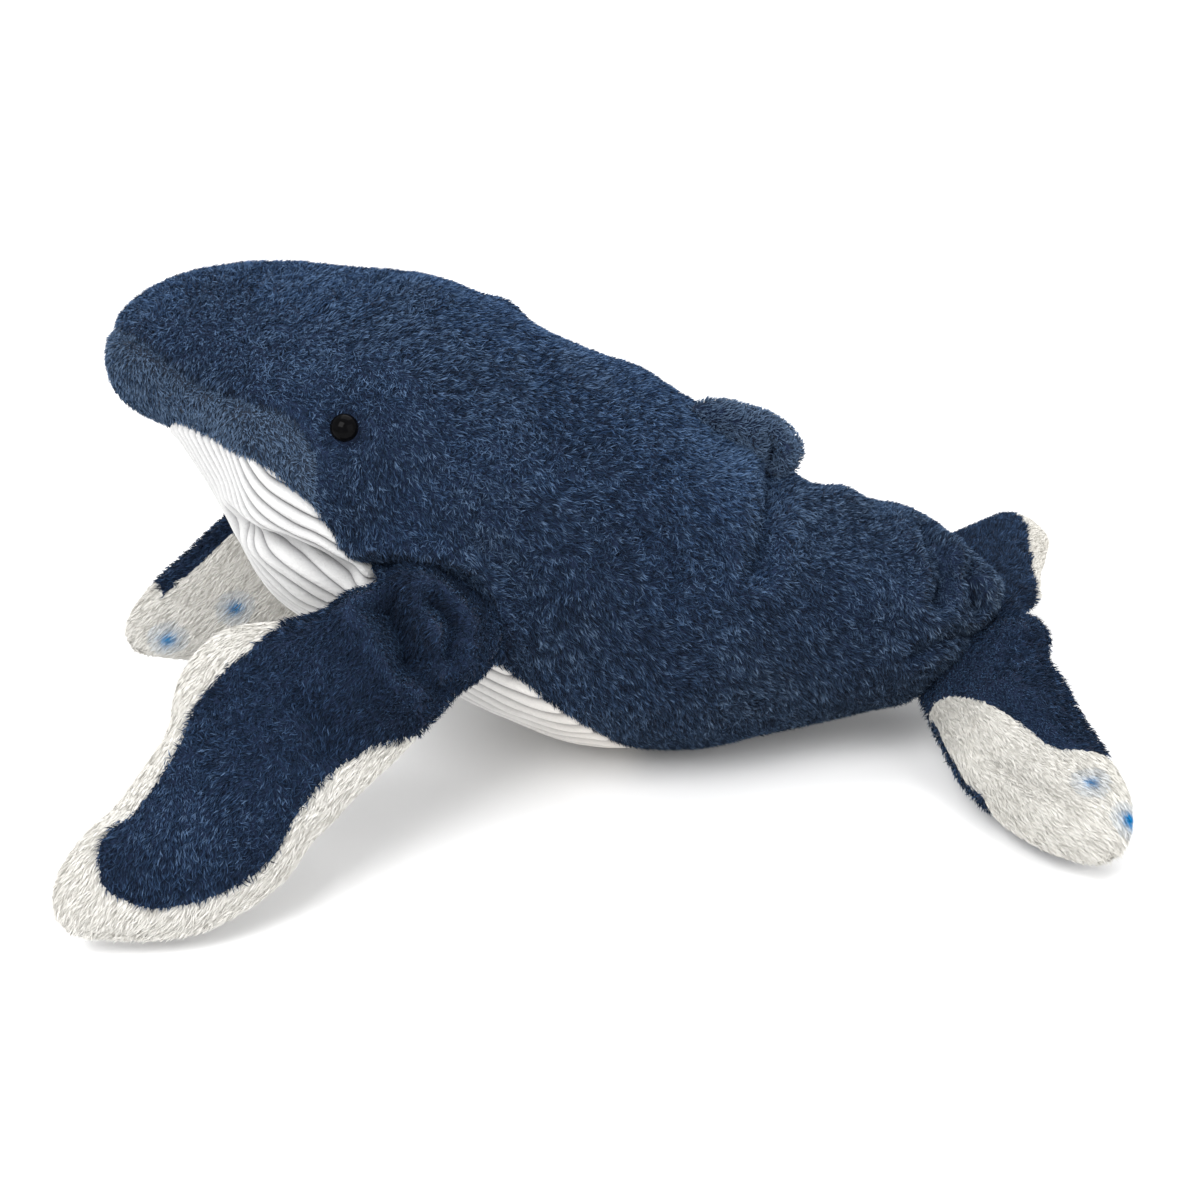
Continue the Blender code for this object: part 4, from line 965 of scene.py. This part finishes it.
def build_ribs():
    """The ribbed throat and belly: rounded ribs at one pitch that run lengthwise and wander."""
    rows, per_rib = 190, 12
    along = np.linspace(*RIB_ENDS, rows)
    centre, tall, wide = smooth_rows(BODY_ROWS, along).T
    seam = smooth_rows(BELLY_SEAM, along)[:, 0] * CROWN
    mean = ((tall + wide) / 2 * GIRTH)[:, None]
    share = np.clip((centre * CROWN - seam) / (tall * GIRTH), -1, 1)[:, None]
    reach = np.maximum(np.arccos(share) + 0.0030 / mean, 0.12)
    turn = np.linspace(0, math.pi, 400)
    stretch = np.clip(np.sin(turn - TILT) + 0.25, 0.62, 1.0)
    stretch = np.concatenate([[0], np.cumsum((stretch[1:] + stretch[:-1]) / 2 * np.diff(turn))])
    limit = np.interp(reach, turn, stretch) * mean
    ribs = int(limit.max() / RIB_PITCH) + 2
    phase = np.arange(-ribs * per_rib, ribs * per_rib + 1) / per_rib
    columns = len(phase)
    x = np.broadcast_to((along * LENGTH - NOSE)[:, None], (rows, columns))
    plain = np.broadcast_to(phase * RIB_PITCH, (rows, columns))
    sheet = np.stack([x, plain, np.full_like(plain, 0.05)], -1).reshape(-1, 3)
    wander = 0.0058 * (wave(sheet, 0.019, 6) - 0.5) + 0.0018 * (wave(sheet, 0.0075, 8) - 0.5)
    free = plain + wander.reshape(rows, columns)
    arc = np.clip(free, -limit, limit)
    angle = np.sign(arc) * np.interp(np.abs(arc) / mean, stretch, turn)
    y = -(wide * GIRTH)[:, None] * np.sin(angle)
    z = (centre * CROWN)[:, None] - DROP - (tall * GIRTH)[:, None] * np.cos(angle)
    flat = np.stack([x, y, z], -1).reshape(-1, 3)
    first = np.argmax(free > -limit, axis=1)[:, None] - 1
    last = columns - np.argmax((free < limit)[:, ::-1], axis=1)[:, None]
    number = np.arange(rows)[:, None] * columns + np.clip(np.arange(columns)[None, :], first, last)
    quads = np.stack([number[:-1, :-1], number[1:, :-1], number[1:, 1:], number[:-1, 1:]], -1).reshape(-1, 4)
    tris = triangles(quads)
    a, b, c = tris.T
    tris = tris[(a != b) & (b != c) & (a != c)]
    used, tris = np.unique(tris, return_inverse=True)
    tris = tris.reshape(-1, 3)
    flat = flat[used]
    normals = point_normals(flat, tris)
    if normals[:, 2].mean() > 0:
        tris, normals = tris[:, ::-1], -normals
    folds = fold_height(flat, tree_of(flat, tris), RIB_CREASES, RIB_BULGES)
    inside = np.mod(np.broadcast_to(phase, (rows, columns)).reshape(-1)[used], 1.0)
    crest = np.sqrt(np.maximum(4 * inside * (1 - inside), 0))
    swell = 0.75 + 0.5 * wave(flat, 0.010, 15)
    drop = 0.0004 + RIB_DEPTH * (1 - crest) * swell + 0.0016 * (wave(flat, 0.020, 5) - 0.5)
    edge = (limit - np.abs(arc)).reshape(-1)[used]
    drop += 0.0026 * bell(edge, 0.0012)
    place = used // columns
    drop += 0.0024 * ((place == 0) | (place == rows - 1))
    base = flat + normals * (folds - drop)[:, None]
    base[:, 2] = np.maximum(base[:, 2], RIB_FLOOR)
    sides = np.concatenate([tris[:, [0, 1]], tris[:, [1, 2]], tris[:, [2, 0]]])
    key = np.sort(sides, axis=1) @ np.array([len(base), 1])
    _, where, count = np.unique(key, return_index=True, return_counts=True)
    rim = sides[where[count == 1]]
    closing = np.stack([rim[:, 1], rim[:, 0], np.full(len(rim), len(base))], -1)
    obj = mesh_piece("throat_ribs", np.concatenate([base, [RIB_CORE]]), [tris, closing], [ribbed_material()])
    attribute = obj.data.attributes.new("crest", "FLOAT", "POINT")
    # Painted shade: darkest in the valleys between ribs, and darker still in the folds.
    depth = crest * (1 - 0.4 * np.clip(-folds / 0.004, 0, 1))
    attribute.data.foreach_set("value", np.append(depth, 0).astype(np.float32))
    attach(obj, "body")
    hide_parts("belly_skin")


EYE_RADIUS, EYE_HEIGHT, EYE_SHANK = 0.0046, 0.0036, 0.0118  # the dome's, and how far back the shank goes
EYE_SINK, EYE_SIDES = 0.0004, 48


def build_eyes():
    """Glossy domes with a flange and a shank."""
    gloss = eye_material()
    for side, name in ((1, "left_eye"), (-1, "right_eye")):
        place, way = eye_frame(side)
        turn = Vector(way).to_track_quat("Z", "Y").to_matrix()
        profile = [(EYE_RADIUS * math.sin(a), EYE_HEIGHT * math.cos(a)) for a in np.linspace(0, math.pi / 2, 16)]
        profile += [(0.0047, -0.0003), (0.0046, -0.0009), (0.0040, -0.0010), (0.0018, -0.0010), (0.0018, -EYE_SHANK)]
        rings = []
        for radius, height in profile[1:]:
            angle = circle(EYE_SIDES)
            rings.append(np.stack([radius * np.cos(angle), radius * np.sin(angle), np.full(EYE_SIDES, height)], -1))
        points, tris = closed_grid(np.array(rings), np.array([0, 0, EYE_HEIGHT]), np.array([0, 0, -EYE_SHANK]))
        points = (points - np.array([0, 0, EYE_SINK])) @ np.array(turn).T + place
        obj = mesh_piece(f"{name}_dome", points, [tris], [gloss])
        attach(obj, "body")
        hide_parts(name)


def build_stage():
    """A pale floor, a white world and three soft lights."""
    floor_points = np.array([(-30, -30, 0), (30, -30, 0), (30, 30, 0), (-30, 30, 0)])
    material, net, shader = node_material("pale_floor", 0.9)
    cloud = noise_node(net, 3.0)
    net.links.new(ramp(net, cloud, [(0.90, 0.90, 0.90), (0.93, 0.93, 0.93)]), shader.inputs["Base Color"])
    floor = mesh_piece("floor", floor_points, [np.array([[0, 1, 2, 3]])], [material])
    world = bpy.data.worlds.new("studio")
    world.use_nodes = True
    background = world.node_tree.nodes["Background"]
    background.inputs["Color"].default_value = (1.0, 1.0, 1.0, 1)
    background.inputs["Strength"].default_value = 0.95
    scene.world = world
    for name, place, size, power in (
        ("key", (-0.50, -0.80, 1.10), 0.7, 15.0),
        ("fill", (0.9, -0.9, 0.6), 1.2, 7.0),
        ("top", (0.1, 0.5, 1.3), 1.2, 13.0),
    ):
        data = bpy.data.lights.new(name, "AREA")
        data.size = size
        data.energy = power
        light = add_object(name, data)
        light.location = place
        light.rotation_euler = (Vector(place) - Vector((-0.03, 0, 0.06))).to_track_quat("Z", "Y").to_euler()
    scene.view_settings.view_transform = "Standard"


make_camera()
build_stage()
limb_forms = [build_limb(limb, 60 + i) for i, limb in enumerate(LIMBS)]
build_body(limb_forms)
build_ribs()
build_eyes()
nylon = washer_material()
for name in ("left_washer", "right_washer"):
    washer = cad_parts[name]
    washer.data.materials.clear()
    washer.data.materials.append(nylon)
